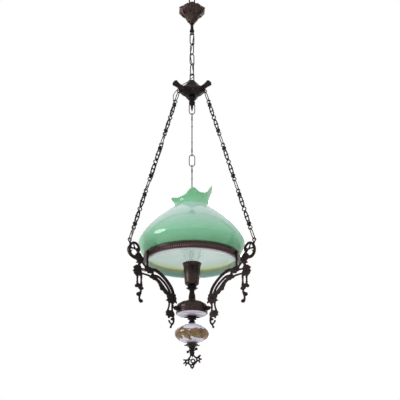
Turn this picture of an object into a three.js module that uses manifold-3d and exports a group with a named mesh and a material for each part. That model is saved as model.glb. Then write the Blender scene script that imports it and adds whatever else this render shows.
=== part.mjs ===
// Hanging lamp on a three-chain suspension, in millimetres, +Z up.
// The origin is where the hanging loop bears on its ceiling hook, and the lamp's axis is Z.
// The camera side is -Y: arms and side chains stand at 210, -30 and 90 degrees round the axis.

import * as THREE from 'three';
import { mergeVertices } from 'three/addons/utils/BufferGeometryUtils.js';
import Module from 'manifold-3d';

const wasm = await Module();
wasm.setup();

// Clearances
const GAP = 0.3; // between pieces that touch
const SLIP = 0.4; // round a piece that slides or turns in another

// Hanging loop, stem and canopy
const LOOP_WIRE = 4;
const LOOP_HALF_WIDTH = 8.2; // axis of the legs
const LOOP_LEG = 26; // straight leg under the arch
const LOOP_BOSS_RADIUS = 8;
const LOOP_BOSS_HEIGHT = 9;
const STEM_RADIUS = 4.7;
const STEM_BORE = 3;
const STEM_LENGTH = 98;
const STEM_NUT_RADIUS = 6;
const STEM_NUT_HEIGHT = 9;
const STEM_EYE_WIRE = 3.2;
const STEM_EYE_HALF_WIDTH = 6.2;
const STEM_EYE_LEG = 5;
const STEM_NUT_BORE = 4.2;

const CANOPY_LOBES = 8;
const CANOPY_RADIUS = 42.5; // rim at the lobe tips
const CANOPY_LOBE_DEPTH = 0.032; // share of the radius
const CANOPY_LOBE_DROP = 1.8;
const CANOPY_HEIGHT = 52;
const CANOPY_WALL = 1.8;
const CANOPY_RIM_DROP = 56; // hook point down to the canopy's rim
const CANOPY_COLLAR_RADIUS = 8.5;
const CANOPY_COLLAR_HEIGHT = 11;
const CANOPY_BALL = 2.4;
const CANOPY_FIRST_LOBE = -20; // degrees
const SCREW_RADIUS = 1.5;
const SCREW_HEAD_RADIUS = 2.6;
const SCREW_HEAD_LENGTH = 5;
const SCREW_AZIMUTH = 215; // degrees

// Centre chain
const LINK_COUNT = 4;
const LINK_WIRE = 3.2;
const LINK_BEARING = 36.2; // inside length
const LINK_HALF_WIDTH = 7.4; // axis of the sides
const CHAIN_TURN = 38; // degrees from the front to the first link's plane

// Crown
const CROWN_LOOP_HALF_WIDTH = 7.2;
const CROWN_LOOP_LEG = 19;
const CROWN_RADIUS = 37; // mean edge radius
const CROWN_LOBE = 8; // the three lobes stand this far out, and the hollows this far in
const CROWN_TOP_RADIUS = 8.5;
const CROWN_HEIGHT = 49;
const CROWN_EYE_RADIUS = 45.5; // chain eye's hole from the axis
const CROWN_EYE_LIFT = 3.5; // eye's hole above the crown's lower face
const CROWN_LEAF_REACH = 66;
const CROWN_LEAF_WIDTH = 21;
const CROWN_LEAF_THICKNESS = 6;
const CROWN_LEAF_RISE = 24; // degrees
const CROWN_SPIKE_LENGTH = 50;
const CROWN_SKIRT_RADIUS = 13;
const CROWN_KNOB_RADIUS = 10.5;
const CROWN_THREAD = 3;

// Side chains
const EYE_WALL = 2.6; // metal round an eye's hole
const EYE_HOLE = 3.4;
const EYE_THICKNESS = 4.4;
const WIRE = 2.8;
const WIRE_LENGTH = 34.7; // between the axes of a wire link's two bows
const WIRE_HALF_WIDTH = 8.4;
const ORNATE_LENGTH = 120.9; // between the holes of an ornate link
const ORNATE_THICKNESS = 3.4;
const ORNATE_HOLE = 3.9;
const ORNATE_RING = 6.8;
const ORNATE_MIDDLE_RING = 7.4;
const ORNATE_STAR = 7.6;
const ORNATE_STAR_THICKNESS = 5.2;
const ORNATE_BAR = 3;
const ORNATE_BARS_WIDTH = 10.6;
const ORNATES = 3;
const CHAIN_SLACK = 0.8; // extra room where the chain carries the arm

// Gallery ring
const RING_WALL = 5.2;
const FITTER_ROOM = 1.6; // round the shade's lip in the ring
const RING_TOP = 18; // above the ring's datum plane
const RING_BOTTOM = -2;
const RING_RIB_DEPTH = 1;
const RING_SIDES = 30;

// Glass shade, heights above the ring's datum plane
const GLASS = 3.2;
const FITTER_RADIUS = 129.2;
const RING_OUTER = FITTER_RADIUS + FITTER_ROOM + RING_WALL;
const FITTER_BOTTOM = -4;
const SHADE_RADIUS = 151.5;
const SHADE_WIDEST = 54;
const SHADE_FULLNESS = 1.55; // how late the bowl draws in to the neck
const NECK_RADIUS = 49.5;
const NECK_BOTTOM = 167;
const RIM_HEIGHT = 201;
const RIM_FLARE = 7;
const RIM_TILT = 11.9;
const RIM_TILT_AZIMUTH = 24.6;
const RIM_CRIMPS = 5;
const RIM_CRIMP = 10.9;
const RIM_CRIMP_SHARE = 0.66;
const RIM_CRIMP_AZIMUTH = -18;
const RIM_WAVE = 4;

// Arms, drawn in the plane of the radius and the axis, heights from the ring's datum plane
const ARM_THICKNESS = 6.4;
const ARM_RELIEF = 8; // where leaves stand up from the casting
const ARM_EYE_RADIUS = 194; // chain hole from the axis
const ARM_EYE_HEIGHT = 35;
const POST_WIDTH = 6.2;
const POST_TOP = 14;
const RING_SCREW_RADIUS = 2;
const RING_SCREW_HEAD = 3.6;
const RING_SCREW_HEAD_LENGTH = 2.6;
const RING_SCREW_HEIGHT = 8.2;
const FOOT_HEIGHT = 12;
const FOOT_WIDTH = 11;
const FOOT_THICKNESS = 3;
const FOOT_LEVEL = -135.5;

// Column, heights from the ring's datum plane
const CUP_LIP = -1;
const CUP_RADIUS = 26.4;
const CUP_FOOT_RADIUS = 20.5;
const CUP_BOTTOM = -66;
const CUP_WALL = 1.6;
const ROD_RADIUS = 4.8;
const ROD_BORE = 3.1;
const COLLAR_RADIUS = 14.5;
const COLLAR_HEIGHT = 12;
const STEM_BULGE = 9.6;
const COLUMN_STEM_HEIGHT = 27;
const CAP_RADIUS = 44;
const CAP_HEIGHT = 37;
const CAP_WALL = 2.2;
const CAP_SIDE = 17; // the cap's straight side
const DISH_DEPTH = 9;
const DISH_WALL = 4;
const SPINDLE_HEIGHT = 21;
const ROSETTE_RADIUS = 22;
const KNOB_RADIUS = 9.6;
const BALL_RADIUS = 47.5;
const BALL_HEIGHT = 52;
const BALL_WALL = 3.5;
const BALL_POLE_RADIUS = 10;
const LEAF_CUP_RADIUS = 20.5;
const LEAF_CUP_HEIGHT = 10;
const FINIAL_SHAFT = 8;
const FINIAL_DEPTH = 5;
const FINIAL_DROP = 58;

// Bulb and holder
const BULB_RADIUS = 30;
const BULB_NECK = 16.5;
const BULB_GLASS_WALL = 1;
const BULB_LENGTH = 80; // glass only
const BULB_SEAT = -7; // where glass meets cap
const BULB_CAP_RADIUS = 13;
const BULB_CAP_LENGTH = 25;
const HOLDER_RADIUS = 18.4;
const HOLDER_WALL = 3.6;
const HOLDER_BASE = 7;
const SHELL_WALL = 0.9;
const CONTACT_LENGTH = 13;

// Lead
const LEAD = 2.8;
const LEAD_SIDES = 8;

const AZIMUTHS = { left: 210, right: -30, back: 90 };
const DEG = Math.PI / 180;

const bronze = { color: 0x4a3330, roughness: 0.38, metalness: 0.9 };
const darkCast = { color: 0x2b2726, roughness: 0.5, metalness: 0.85 };
const steel = { color: 0x6e6a68, roughness: 0.35, metalness: 0.95 };
const brass = { color: 0xb08d4a, roughness: 0.3, metalness: 0.95 };
const porcelain = { color: 0xf1eef2, roughness: 0.15, metalness: 0 };
const opal = { color: 0x6cb58a, roughness: 0.12, metalness: 0 };
const clear = { color: 0xe6f2f0, roughness: 0.05, metalness: 0 };
const ceramic = { color: 0xe8e4da, roughness: 0.4, metalness: 0 };
const sleeve = { color: 0x2a2422, roughness: 0.55, metalness: 0 };

const lamp = new THREE.Group();

// Shapes. Every function here gives one closed geometry, except those named after an outline.

/** A closed geometry as a solid that can be joined and cut. */
function toSolid(geometry) {
  const bare = new THREE.BufferGeometry();
  bare.setAttribute('position', geometry.getAttribute('position').clone());
  if (geometry.index) {
    bare.setIndex(geometry.index.clone());
  }
  const merged = mergeVertices(bare, 1e-4);
  const position = merged.getAttribute('position').array;
  const corners = [];
  let volume = 0;
  for (let i = 0; i < merged.index.count; i += 3) {
    const [a, b, c] = [0, 1, 2].map((k) => merged.index.getX(i + k));
    if (a !== b && b !== c && c !== a) {
      const [p, q, r] = [a, b, c].map((n) => new THREE.Vector3().fromArray(position, 3 * n));
      corners.push(a, b, c);
      volume += p.dot(q.cross(r));
    }
  }
  if (volume < 0) {
    corners.reverse();
  }
  return new wasm.Manifold(new wasm.Mesh({
    numProp: 3,
    vertProperties: new Float32Array(position),
    triVerts: new Uint32Array(corners),
  }));
}

/** The solid's vertices and triangles as a geometry. */
function toGeometry(body) {
  const mesh = body.getMesh();
  const geometry = new THREE.BufferGeometry();
  geometry.setAttribute('position', new THREE.BufferAttribute(mesh.vertProperties, 3));
  geometry.setIndex(new THREE.BufferAttribute(mesh.triVerts, 1));
  return geometry;
}

/** One closed geometry from several that run into one another. */
function join(...pieces) {
  return toGeometry(pieces.map(toSolid).reduce((whole, piece) => whole.add(piece)));
}

/** A closed geometry with others cut out of it. */
function cut(piece, ...tools) {
  return toGeometry(tools.map(toSolid).reduce((left, tool) => left.subtract(tool), toSolid(piece)));
}

/** Moves every corner of a geometry by a function of its place. */
function reshaped(geometry, move) {
  const position = geometry.getAttribute('position');
  for (let i = 0; i < position.count; i += 1) {
    position.setXYZ(i, ...move(position.getX(i), position.getY(i), position.getZ(i)));
  }
  return geometry;
}

/** Adds a named mesh to a group. */
function place(group, name, geometry, look) {
  geometry.computeVertexNormals();
  const mesh = new THREE.Mesh(geometry, new THREE.MeshStandardMaterial(look));
  mesh.name = name;
  group.add(mesh);
  return mesh;
}

/** Solid of revolution about Z from [radius, height] corners, closed on the axis or on itself. */
function turned(profile, segments = 16) {
  const points = profile.map(([r, z]) => new THREE.Vector2(r, z));
  const onAxis = profile[0][0] === 0 && profile[profile.length - 1][0] === 0;
  if (!onAxis) {
    points.push(points[0].clone());
  }
  const geometry = new THREE.LatheGeometry(points, segments);
  return geometry.rotateX(Math.PI / 2);
}

/** Upright tube or rod between two heights. */
function tube(outer, inner, low, high, segments = 16) {
  const profile = inner > 0
    ? [[inner, low], [outer, low], [outer, high], [inner, high]]
    : [[0, low], [outer, low], [outer, high], [0, high]];
  return turned(profile, segments);
}

/** Rod along a direction from a start point. */
function rod(start, direction, length, radius, sides = 10) {
  const geometry = new THREE.CylinderGeometry(radius, radius, length, sides);
  geometry.translate(0, length / 2, 0);
  const turn = new THREE.Quaternion().setFromUnitVectors(
    new THREE.Vector3(0, 1, 0), direction.clone().normalize());
  geometry.applyQuaternion(turn);
  return geometry.translate(start.x, start.y, start.z);
}

/** Flat plate: a shape drawn in (radius, height), standing in the XZ plane, centred on its thickness. */
function plate(shape, thickness, curveSegments = 4) {
  const geometry = new THREE.ExtrudeGeometry(shape, {
    depth: thickness, bevelEnabled: false, curveSegments,
  });
  geometry.translate(0, 0, -thickness / 2);
  return geometry.rotateX(Math.PI / 2);
}

/** Round disc, or a ring when it has a hole, as a shape. */
function discShape(x, y, radius, hole = 0) {
  const shape = new THREE.Shape();
  shape.absarc(x, y, radius, 0, 2 * Math.PI, false);
  if (hole > 0) {
    const inner = new THREE.Path();
    inner.absarc(x, y, hole, 0, 2 * Math.PI, true);
    shape.holes.push(inner);
  }
  return shape;
}

/** Star with rounded-off points, as a shape. */
function starShape(x, y, outer, inner, tips) {
  const corners = [];
  for (let i = 0; i < 2 * tips; i += 1) {
    const radius = i % 2 ? inner : outer;
    const angle = Math.PI * i / tips;
    corners.push(new THREE.Vector2(x + radius * Math.cos(angle), y + radius * Math.sin(angle)));
  }
  return new THREE.Shape(corners);
}

/** Small ball. */
function ball(x, y, z, radius, across = 8, down = 5) {
  const geometry = new THREE.SphereGeometry(radius, across, down);
  return geometry.translate(x, y, z);
}

/** Flat bar that follows a smooth line through the given points, from one width to another. */
function strapShape(points, startWidth, endWidth = startWidth, steps = 6) {
  const line = new THREE.SplineCurve(points.map(([x, y]) => new THREE.Vector2(x, y)));
  const left = [];
  const right = [];
  for (let i = 0; i <= steps; i += 1) {
    const t = i / steps;
    const centre = line.getPoint(t);
    const along = line.getTangent(t);
    const half = (startWidth + (endWidth - startWidth) * t) / 2;
    const across = new THREE.Vector2(-along.y, along.x).multiplyScalar(half);
    left.push(centre.clone().add(across));
    right.unshift(centre.clone().sub(across));
  }
  return new THREE.Shape([...left, ...right]);
}

/** Path whose steps fall where its own parameter puts them. */
class SteppedPath extends THREE.Curve {
  constructor(pointAt) {
    super();
    this.pointAt = pointAt;
  }

  getPoint(t, target = new THREE.Vector3()) {
    return target.copy(this.pointAt(t));
  }

  getPointAt(u, target) {
    return this.getPoint(u, target);
  }

  getTangentAt(u, target) {
    return this.getTangent(u, target);
  }
}

/** Section of a round wire. */
function wireSection(radius, sides) {
  const corners = [];
  for (let i = 0; i < sides; i += 1) {
    const angle = 2 * Math.PI * (i + 0.5) / sides;
    corners.push(new THREE.Vector2(radius * Math.cos(angle), radius * Math.sin(angle)));
  }
  return new THREE.Shape(corners);
}

/** Round wire along an open path, with flat ends. */
function wire(path, diameter, steps, sides = 6) {
  return new THREE.ExtrudeGeometry(wireSection(diameter / 2, sides), {
    steps, extrudePath: path, bevelEnabled: false,
  });
}

/** Closed oval wire link in the XZ plane; its length runs between the centre lines of its two bows. */
function ovalLink(length, halfWidth, diameter, bends = 12) {
  const half = Math.PI / bends;
  const ring = new THREE.TorusGeometry(halfWidth / Math.cos(half), diameter / 2, 6, bends);
  ring.rotateZ(half);
  ring.rotateX(Math.PI / 2);
  const reach = length / 2 - halfWidth;
  return reshaped(ring, (x, y, z) => [x, y, z + Math.sign(z) * reach]);
}

/** Arch of wire with straight legs, hanging below its top at height 0, in the XZ plane. */
function arch(halfWidth, leg, diameter) {
  const bend = Math.PI * halfWidth;
  const total = 2 * leg + bend;
  const path = new SteppedPath((t) => {
    const at = t * total;
    if (at < leg) {
      return new THREE.Vector3(-halfWidth, 0, -halfWidth - leg + at);
    }
    if (at > leg + bend) {
      return new THREE.Vector3(halfWidth, 0, -halfWidth - (at - leg - bend));
    }
    const angle = Math.PI - (at - leg) / halfWidth;
    return new THREE.Vector3(halfWidth * Math.cos(angle), 0, -halfWidth + halfWidth * Math.sin(angle));
  });
  return wire(path, diameter, 12);
}

/** Point at a radius from the lamp's axis, an azimuth in degrees and a height. */
function polar(radius, azimuth, height) {
  return new THREE.Vector3(radius * Math.cos(azimuth * DEG), radius * Math.sin(azimuth * DEG), height);
}

function smooth(low, high, value) {
  const t = Math.min(1, Math.max(0, (value - low) / (high - low)));
  return t * t * (3 - 2 * t);
}

// Hanging loop: an arch of wire in a round boss that screws on to the stem
const loopTop = LOOP_WIRE; // outside of the arch above the hook point
const loopBossTop = loopTop - LOOP_WIRE / 2 - LOOP_HALF_WIDTH - LOOP_LEG + 2;
const stemTop = loopBossTop - LOOP_BOSS_HEIGHT / 2;
const stemBottom = stemTop - STEM_LENGTH;

function hangingLoop() {
  const bow = arch(LOOP_HALF_WIDTH, LOOP_LEG, LOOP_WIRE).translate(0, 0, loopTop - LOOP_WIRE / 2);
  const foot = loopBossTop - LOOP_BOSS_HEIGHT;
  const boss = turned([
    [0, foot], [LOOP_BOSS_RADIUS, foot], [LOOP_BOSS_RADIUS + 2, foot + 2],
    [LOOP_BOSS_RADIUS + 2, loopBossTop - 1.5], [LOOP_BOSS_RADIUS, loopBossTop], [0, loopBossTop],
  ]);
  const thread = tube(STEM_RADIUS + GAP, 0, foot - 1, stemTop + GAP);
  const bore = tube(STEM_BORE, 0, foot - 1, loopBossTop + 1, 12);
  return cut(join(bow, boss), thread, bore);
}

function stemTube() {
  return tube(STEM_RADIUS, STEM_BORE, stemBottom, stemTop);
}

// Loop nut: screws on the stem's lower end, and the lead comes down through it
const nutTop = stemBottom + STEM_NUT_HEIGHT - 3;
const nutBottom = nutTop - STEM_NUT_HEIGHT;
const stemBearing = nutBottom - STEM_EYE_LEG - STEM_EYE_HALF_WIDTH + STEM_EYE_WIRE / 2;

function stemEye() {
  const nut = turned([
    [STEM_NUT_BORE, nutBottom], [STEM_NUT_RADIUS + 1.6, nutBottom], [STEM_NUT_RADIUS + 1.6, nutBottom + 3],
    [STEM_NUT_RADIUS, nutBottom + 4], [STEM_NUT_RADIUS, nutTop], [STEM_NUT_BORE, nutTop],
  ]);
  const bow = arch(STEM_EYE_HALF_WIDTH, STEM_EYE_LEG + 1, STEM_EYE_WIRE)
    .rotateX(Math.PI)
    .translate(0, 0, stemBearing - STEM_EYE_WIRE / 2)
    .rotateZ((CHAIN_TURN + 90) * DEG);
  const thread = tube(STEM_RADIUS + GAP, 0, stemBottom - GAP, nutTop + 1);
  return cut(join(nut, bow), thread);
}

// Canopy: a pleated bell whose rim rolls out into lobes with a ball on each tip
const canopyRim = -CANOPY_RIM_DROP;
const canopyFoot = canopyRim - CANOPY_HEIGHT;

function canopyProfile() {
  const height = (share) => canopyFoot + share * CANOPY_HEIGHT;
  const lip = STEM_RADIUS + SLIP;
  const outer = [
    [lip, canopyFoot], [CANOPY_COLLAR_RADIUS - 1, canopyFoot], [CANOPY_COLLAR_RADIUS, height(0.04)],
    [0.33 * CANOPY_RADIUS, height(0.18)], [0.48 * CANOPY_RADIUS, height(0.37)],
    [0.58 * CANOPY_RADIUS, height(0.55)], [0.74 * CANOPY_RADIUS, height(0.65)],
    [0.92 * CANOPY_RADIUS, height(0.8)], [CANOPY_RADIUS, canopyRim],
  ];
  const inner = outer.filter(([r], i) => r > CANOPY_COLLAR_RADIUS && i % 2 === 0).reverse()
    .map(([r, z]) => [r - CANOPY_WALL, z + (z < canopyRim ? CANOPY_WALL : 0)]);
  const floor = canopyFoot + CANOPY_COLLAR_HEIGHT;
  return [...outer, ...inner, [CANOPY_COLLAR_RADIUS, floor + CANOPY_WALL], [lip, floor]];
}

function canopyMove(x, y, z) {
  const radius = Math.hypot(x, y);
  const angle = Math.atan2(y, x);
  const lobe = Math.cos(CANOPY_LOBES * (angle - CANOPY_FIRST_LOBE * DEG));
  const pleat = Math.cos(3 * CANOPY_LOBES * (angle - CANOPY_FIRST_LOBE * DEG));
  const out = smooth(0.5 * CANOPY_RADIUS, CANOPY_RADIUS, radius);
  const body = smooth(0.25 * CANOPY_RADIUS, 0.45 * CANOPY_RADIUS, radius);
  const grown = radius * (1 + 0.025 * body * pleat + CANOPY_LOBE_DEPTH * out * (lobe - 1));
  const lifted = z - CANOPY_LOBE_DROP * out * (1 - lobe) / 2;
  return [grown * Math.cos(angle), grown * Math.sin(angle), lifted];
}

function canopy() {
  const shell = reshaped(turned(canopyProfile(), 4 * CANOPY_LOBES), canopyMove);
  const tips = [];
  for (let i = 0; i < CANOPY_LOBES; i += 1) {
    const angle = (CANOPY_FIRST_LOBE + 360 * i / CANOPY_LOBES) * DEG;
    tips.push(ball(CANOPY_RADIUS * Math.cos(angle), CANOPY_RADIUS * Math.sin(angle),
      canopyRim - CANOPY_BALL, CANOPY_BALL, 6, 3));
  }
  const hole = screwRod(SCREW_RADIUS + SLIP, STEM_RADIUS, CANOPY_COLLAR_RADIUS + 6);
  return cut(join(shell, ...tips), hole);
}

// Thumb screw: radial, through the canopy's collar to the stem
const screwLevel = canopyFoot + SCREW_HEAD_RADIUS;
const screwDirection = new THREE.Vector3(
  Math.cos(SCREW_AZIMUTH * DEG), Math.sin(SCREW_AZIMUTH * DEG), 0);

function screwRod(radius, from, to) {
  const start = screwDirection.clone().multiplyScalar(from);
  start.z = screwLevel;
  return rod(start, screwDirection, to - from, radius, 12);
}

function canopyScrew() {
  const shank = screwRod(SCREW_RADIUS, STEM_RADIUS + GAP, CANOPY_COLLAR_RADIUS + 3.5);
  const headStart = CANOPY_COLLAR_RADIUS + 3;
  return join(shank, screwRod(SCREW_HEAD_RADIUS, headStart, headStart + SCREW_HEAD_LENGTH));
}

// Centre chain: each link hangs on the bow above it, turned a quarter round
const linkPitch = LINK_BEARING - GAP;
const linkTop = (i) => stemBearing + GAP - i * linkPitch; // inside of the upper bow
const crownBearing = linkTop(LINK_COUNT);

function chainLink() {
  return ovalLink(LINK_BEARING + LINK_WIRE, LINK_HALF_WIDTH, LINK_WIRE, 8);
}

// Crown: loop, lobed casting with leaf tips and chain eyes, and a turned finial on one rod
const crownLoopTop = crownBearing + LINK_WIRE;
const crownTop = crownLoopTop - LINK_WIRE / 2 - CROWN_LOOP_HALF_WIDTH - CROWN_LOOP_LEG - 1;
const crownFoot = crownTop - CROWN_HEIGHT;
const crownEyeZ = crownFoot + CROWN_EYE_LIFT;
const crownLoopPlane = LINK_COUNT % 2 ? 90 : 0;

function crownLoop() {
  const bow = arch(CROWN_LOOP_HALF_WIDTH, CROWN_LOOP_LEG, LINK_WIRE)
    .translate(0, 0, crownLoopTop - LINK_WIRE / 2);
  const base = turned([
    [0, crownTop - 12], [CROWN_THREAD, crownTop - 12], [CROWN_THREAD, crownTop + GAP],
    [CROWN_TOP_RADIUS, crownTop + GAP], [CROWN_TOP_RADIUS + 1, crownTop + 1.5],
    [CROWN_TOP_RADIUS, crownTop + 3.5], [0, crownTop + 3.5],
  ], 12);
  return join(bow, base).rotateZ((crownLoopPlane + CHAIN_TURN) * DEG);
}

function leafTip(azimuth) {
  const root = CROWN_RADIUS - 6;
  const reach = CROWN_LEAF_REACH - root;
  const half = CROWN_LEAF_WIDTH / 2;
  const outline = new THREE.Shape();
  outline.moveTo(0, -0.9 * half);
  outline.quadraticCurveTo(0.5 * reach, -0.62 * half, 0.86 * reach, -half);
  outline.lineTo(reach, -0.55 * half);
  outline.lineTo(0.94 * reach, 0);
  outline.lineTo(reach, 0.55 * half);
  outline.lineTo(0.86 * reach, half);
  outline.quadraticCurveTo(0.5 * reach, 0.62 * half, 0, 0.9 * half);
  const geometry = new THREE.ExtrudeGeometry(outline, {
    depth: CROWN_LEAF_THICKNESS, bevelEnabled: false, curveSegments: 2,
  });
  return geometry
    .rotateY(-CROWN_LEAF_RISE * DEG)
    .translate(root, 0, crownFoot + 0.3 * CROWN_HEIGHT)
    .rotateZ(azimuth * DEG);
}

function crownEye(azimuth) {
  const outer = EYE_HOLE + EYE_WALL;
  const ring = plate(discShape(CROWN_EYE_RADIUS, crownEyeZ, outer, EYE_HOLE), EYE_THICKNESS);
  const root = new THREE.Shape();
  root.moveTo(CROWN_EYE_RADIUS - outer - 6, crownEyeZ + 2);
  root.lineTo(CROWN_EYE_RADIUS - EYE_HOLE - 1, crownEyeZ);
  root.lineTo(CROWN_EYE_RADIUS - 1, crownEyeZ + EYE_HOLE + 1);
  root.lineTo(CROWN_EYE_RADIUS - 1, crownEyeZ + 0.24 * CROWN_HEIGHT);
  root.lineTo(CROWN_EYE_RADIUS - outer - 6, crownEyeZ + 0.24 * CROWN_HEIGHT);
  return join(ring, plate(root, EYE_THICKNESS)).rotateZ(azimuth * DEG);
}

function crownMove(x, y, z) {
  const radius = Math.hypot(x, y);
  const angle = Math.atan2(y, x);
  const share = smooth(CROWN_TOP_RADIUS, CROWN_RADIUS, radius);
  const lobe = Math.cos(3 * (angle - AZIMUTHS.back * DEG));
  const grown = radius + share * CROWN_LOBE * lobe;
  return [grown * Math.cos(angle), grown * Math.sin(angle), z];
}

function crownBody() {
  const height = (share) => crownFoot + share * CROWN_HEIGHT;
  const bell = turned([
    [CROWN_THREAD + GAP, crownFoot], [0.36 * CROWN_RADIUS, crownFoot], [0.62 * CROWN_RADIUS, height(0.06)],
    [0.88 * CROWN_RADIUS, height(0.14)], [CROWN_RADIUS, height(0.26)], [0.99 * CROWN_RADIUS, height(0.36)],
    [0.82 * CROWN_RADIUS, height(0.47)], [0.62 * CROWN_RADIUS, height(0.62)],
    [0.42 * CROWN_RADIUS, height(0.84)], [CROWN_TOP_RADIUS + 1, crownTop], [CROWN_THREAD + GAP, crownTop],
  ], 24);
  const parts = [reshaped(bell, crownMove)];
  for (const azimuth of Object.values(AZIMUTHS)) {
    parts.push(leafTip(azimuth), crownEye(azimuth));
  }
  return join(...parts);
}

function crownFinial() {
  const top = crownFoot - GAP;
  const at = (share) => top - share * CROWN_SPIKE_LENGTH;
  const turnedPart = turned([
    [0, at(1)], [1.6, at(0.98)], [2.2, at(0.9)], [2.6, at(0.66)], [5.6, at(0.58)], [7, at(0.55)],
    [CROWN_KNOB_RADIUS, at(0.47)], [CROWN_KNOB_RADIUS - 0.5, at(0.4)], [7.5, at(0.32)],
    [8.2, at(0.26)], [CROWN_SKIRT_RADIUS, at(0.2)], [CROWN_SKIRT_RADIUS - 0.4, at(0.12)],
    [9.5, top], [CROWN_THREAD, top], [CROWN_THREAD, top + CROWN_HEIGHT - 14], [0, top + CROWN_HEIGHT - 14],
  ], 12);
  return turnedPart;
}

// Side chains: wire links carry the cast ornate links, a quarter turn apart
const eyeSeat = EYE_HOLE - WIRE / 2 - GAP;
const slackSeat = EYE_HOLE - WIRE / 2 - CHAIN_SLACK;
const ornateSeat = ORNATE_HOLE - WIRE / 2 - GAP;
const chainLength = eyeSeat + (ORNATES + 1) * WIRE_LENGTH
  + ORNATES * (ORNATE_LENGTH + 2 * ornateSeat) + slackSeat;
const chainRun = ARM_EYE_RADIUS - CROWN_EYE_RADIUS;
const chainDrop = Math.sqrt(chainLength ** 2 - chainRun ** 2);
const chainLean = Math.atan2(chainRun, chainDrop) / DEG;
const ringPlane = crownEyeZ - chainDrop - ARM_EYE_HEIGHT;

/** Slotted double bar between two levels, as an outline: both bars bow in where they meet the knobs. */
function slottedBars(low, high) {
  const w = ORNATE_BARS_WIDTH / 2;
  const s = w - ORNATE_BAR;
  const up = Math.sign(high - low);
  const bars = new THREE.Shape();
  bars.moveTo(0, low);
  bars.lineTo(w, low + 8 * up);
  bars.lineTo(w, high - 8 * up);
  bars.lineTo(0, high);
  bars.lineTo(-w, high - 8 * up);
  bars.lineTo(-w, low + 8 * up);
  const slot = new THREE.Path();
  slot.moveTo(-s, low + 9 * up);
  slot.lineTo(-s, high - 9 * up);
  slot.lineTo(s, high - 9 * up);
  slot.lineTo(s, low + 9 * up);
  bars.holes.push(slot);
  return bars;
}

/** Cast ornate link in the XZ plane, centred: rings at its ends and middle, knobs and slotted bars between. */
function ornateLink() {
  const half = ORNATE_LENGTH / 2;
  const parts = [plate(discShape(0, 0, ORNATE_MIDDLE_RING, ORNATE_HOLE), ORNATE_THICKNESS)];
  for (const end of [1, -1]) {
    const knob = half - ORNATE_RING - 0.62 * ORNATE_STAR;
    const barEnd = ORNATE_HOLE + 1;
    parts.push(
      plate(discShape(0, end * half, ORNATE_RING, ORNATE_HOLE), ORNATE_THICKNESS),
      plate(starShape(0, end * knob, ORNATE_STAR, 0.75 * ORNATE_STAR, 2), ORNATE_STAR_THICKNESS),
      plate(slottedBars(end * barEnd, end * knob), ORNATE_THICKNESS));
  }
  return join(...parts);
}

const ornate = ornateLink();
const wireLink = ovalLink(WIRE_LENGTH, WIRE_HALF_WIDTH, WIRE, 8);

/** A side chain's links in a leaning frame whose Z runs up the chain and whose origin is the crown's eye. */
function addSideChain(side) {
  const about = new THREE.Group();
  about.rotation.z = AZIMUTHS[side] * DEG;
  lamp.add(about);
  const hung = new THREE.Group();
  hung.position.set(CROWN_EYE_RADIUS, 0, crownEyeZ);
  hung.rotation.y = -chainLean * DEG;
  about.add(hung);
  let at = eyeSeat;
  for (let i = 0; i < 2 * ORNATES + 1; i += 1) {
    const number = Math.floor(i / 2) + 1;
    if (i % 2) {
      at += ornateSeat + ORNATE_LENGTH / 2;
      place(hung, `chain_${side}_ornate_${number}`, ornate, darkCast).position.z = -at;
      at += ORNATE_LENGTH / 2 + ornateSeat;
    } else {
      at += WIRE_LENGTH / 2;
      const link = place(hung, `chain_${side}_wire_${number}`, wireLink, steel);
      link.position.z = -at;
      link.rotation.z = Math.PI / 2;
      at += WIRE_LENGTH / 2;
    }
  }
}

// Gallery ring: a ribbed band with a bead above and below; the fitter lip of the shade hangs inside it
const ringInner = RING_OUTER - RING_WALL;

function galleryRing() {
  const band = turned([
    [ringInner, RING_BOTTOM], [RING_OUTER, RING_BOTTOM], [RING_OUTER, RING_BOTTOM + 3],
    [RING_OUTER - RING_RIB_DEPTH, RING_BOTTOM + 4], [RING_OUTER - RING_RIB_DEPTH, RING_TOP - 4],
    [RING_OUTER, RING_TOP - 3], [RING_OUTER - 1, RING_TOP], [ringInner, RING_TOP],
  ], RING_SIDES);
  const screws = Object.values(AZIMUTHS).map((azimuth) => rod(
    polar(ringInner - 2, azimuth, RING_SCREW_HEIGHT), polar(1, azimuth, 0),
    RING_WALL + 4, RING_SCREW_RADIUS + GAP, 8));
  return cut(band, ...screws);
}

// Glass shade: a deep bowl on a straight fitter lip, with a neck that is crimped while hot
const lipTop = RING_TOP + GAP;

function bowlRadius(height) {
  const low = [lipTop + 1, RING_OUTER - 2];
  const shoulder = (SHADE_RADIUS - low[1]);
  if (height < SHADE_WIDEST) {
    const t = (SHADE_WIDEST - height) / (SHADE_WIDEST - low[0]);
    return SHADE_RADIUS - shoulder * (0.35 * t + 0.65 * t * t);
  }
  const t = (height - SHADE_WIDEST) / (NECK_BOTTOM - SHADE_WIDEST);
  const drop = SHADE_RADIUS - NECK_RADIUS;
  return SHADE_RADIUS - drop * t ** SHADE_FULLNESS;
}

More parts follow.
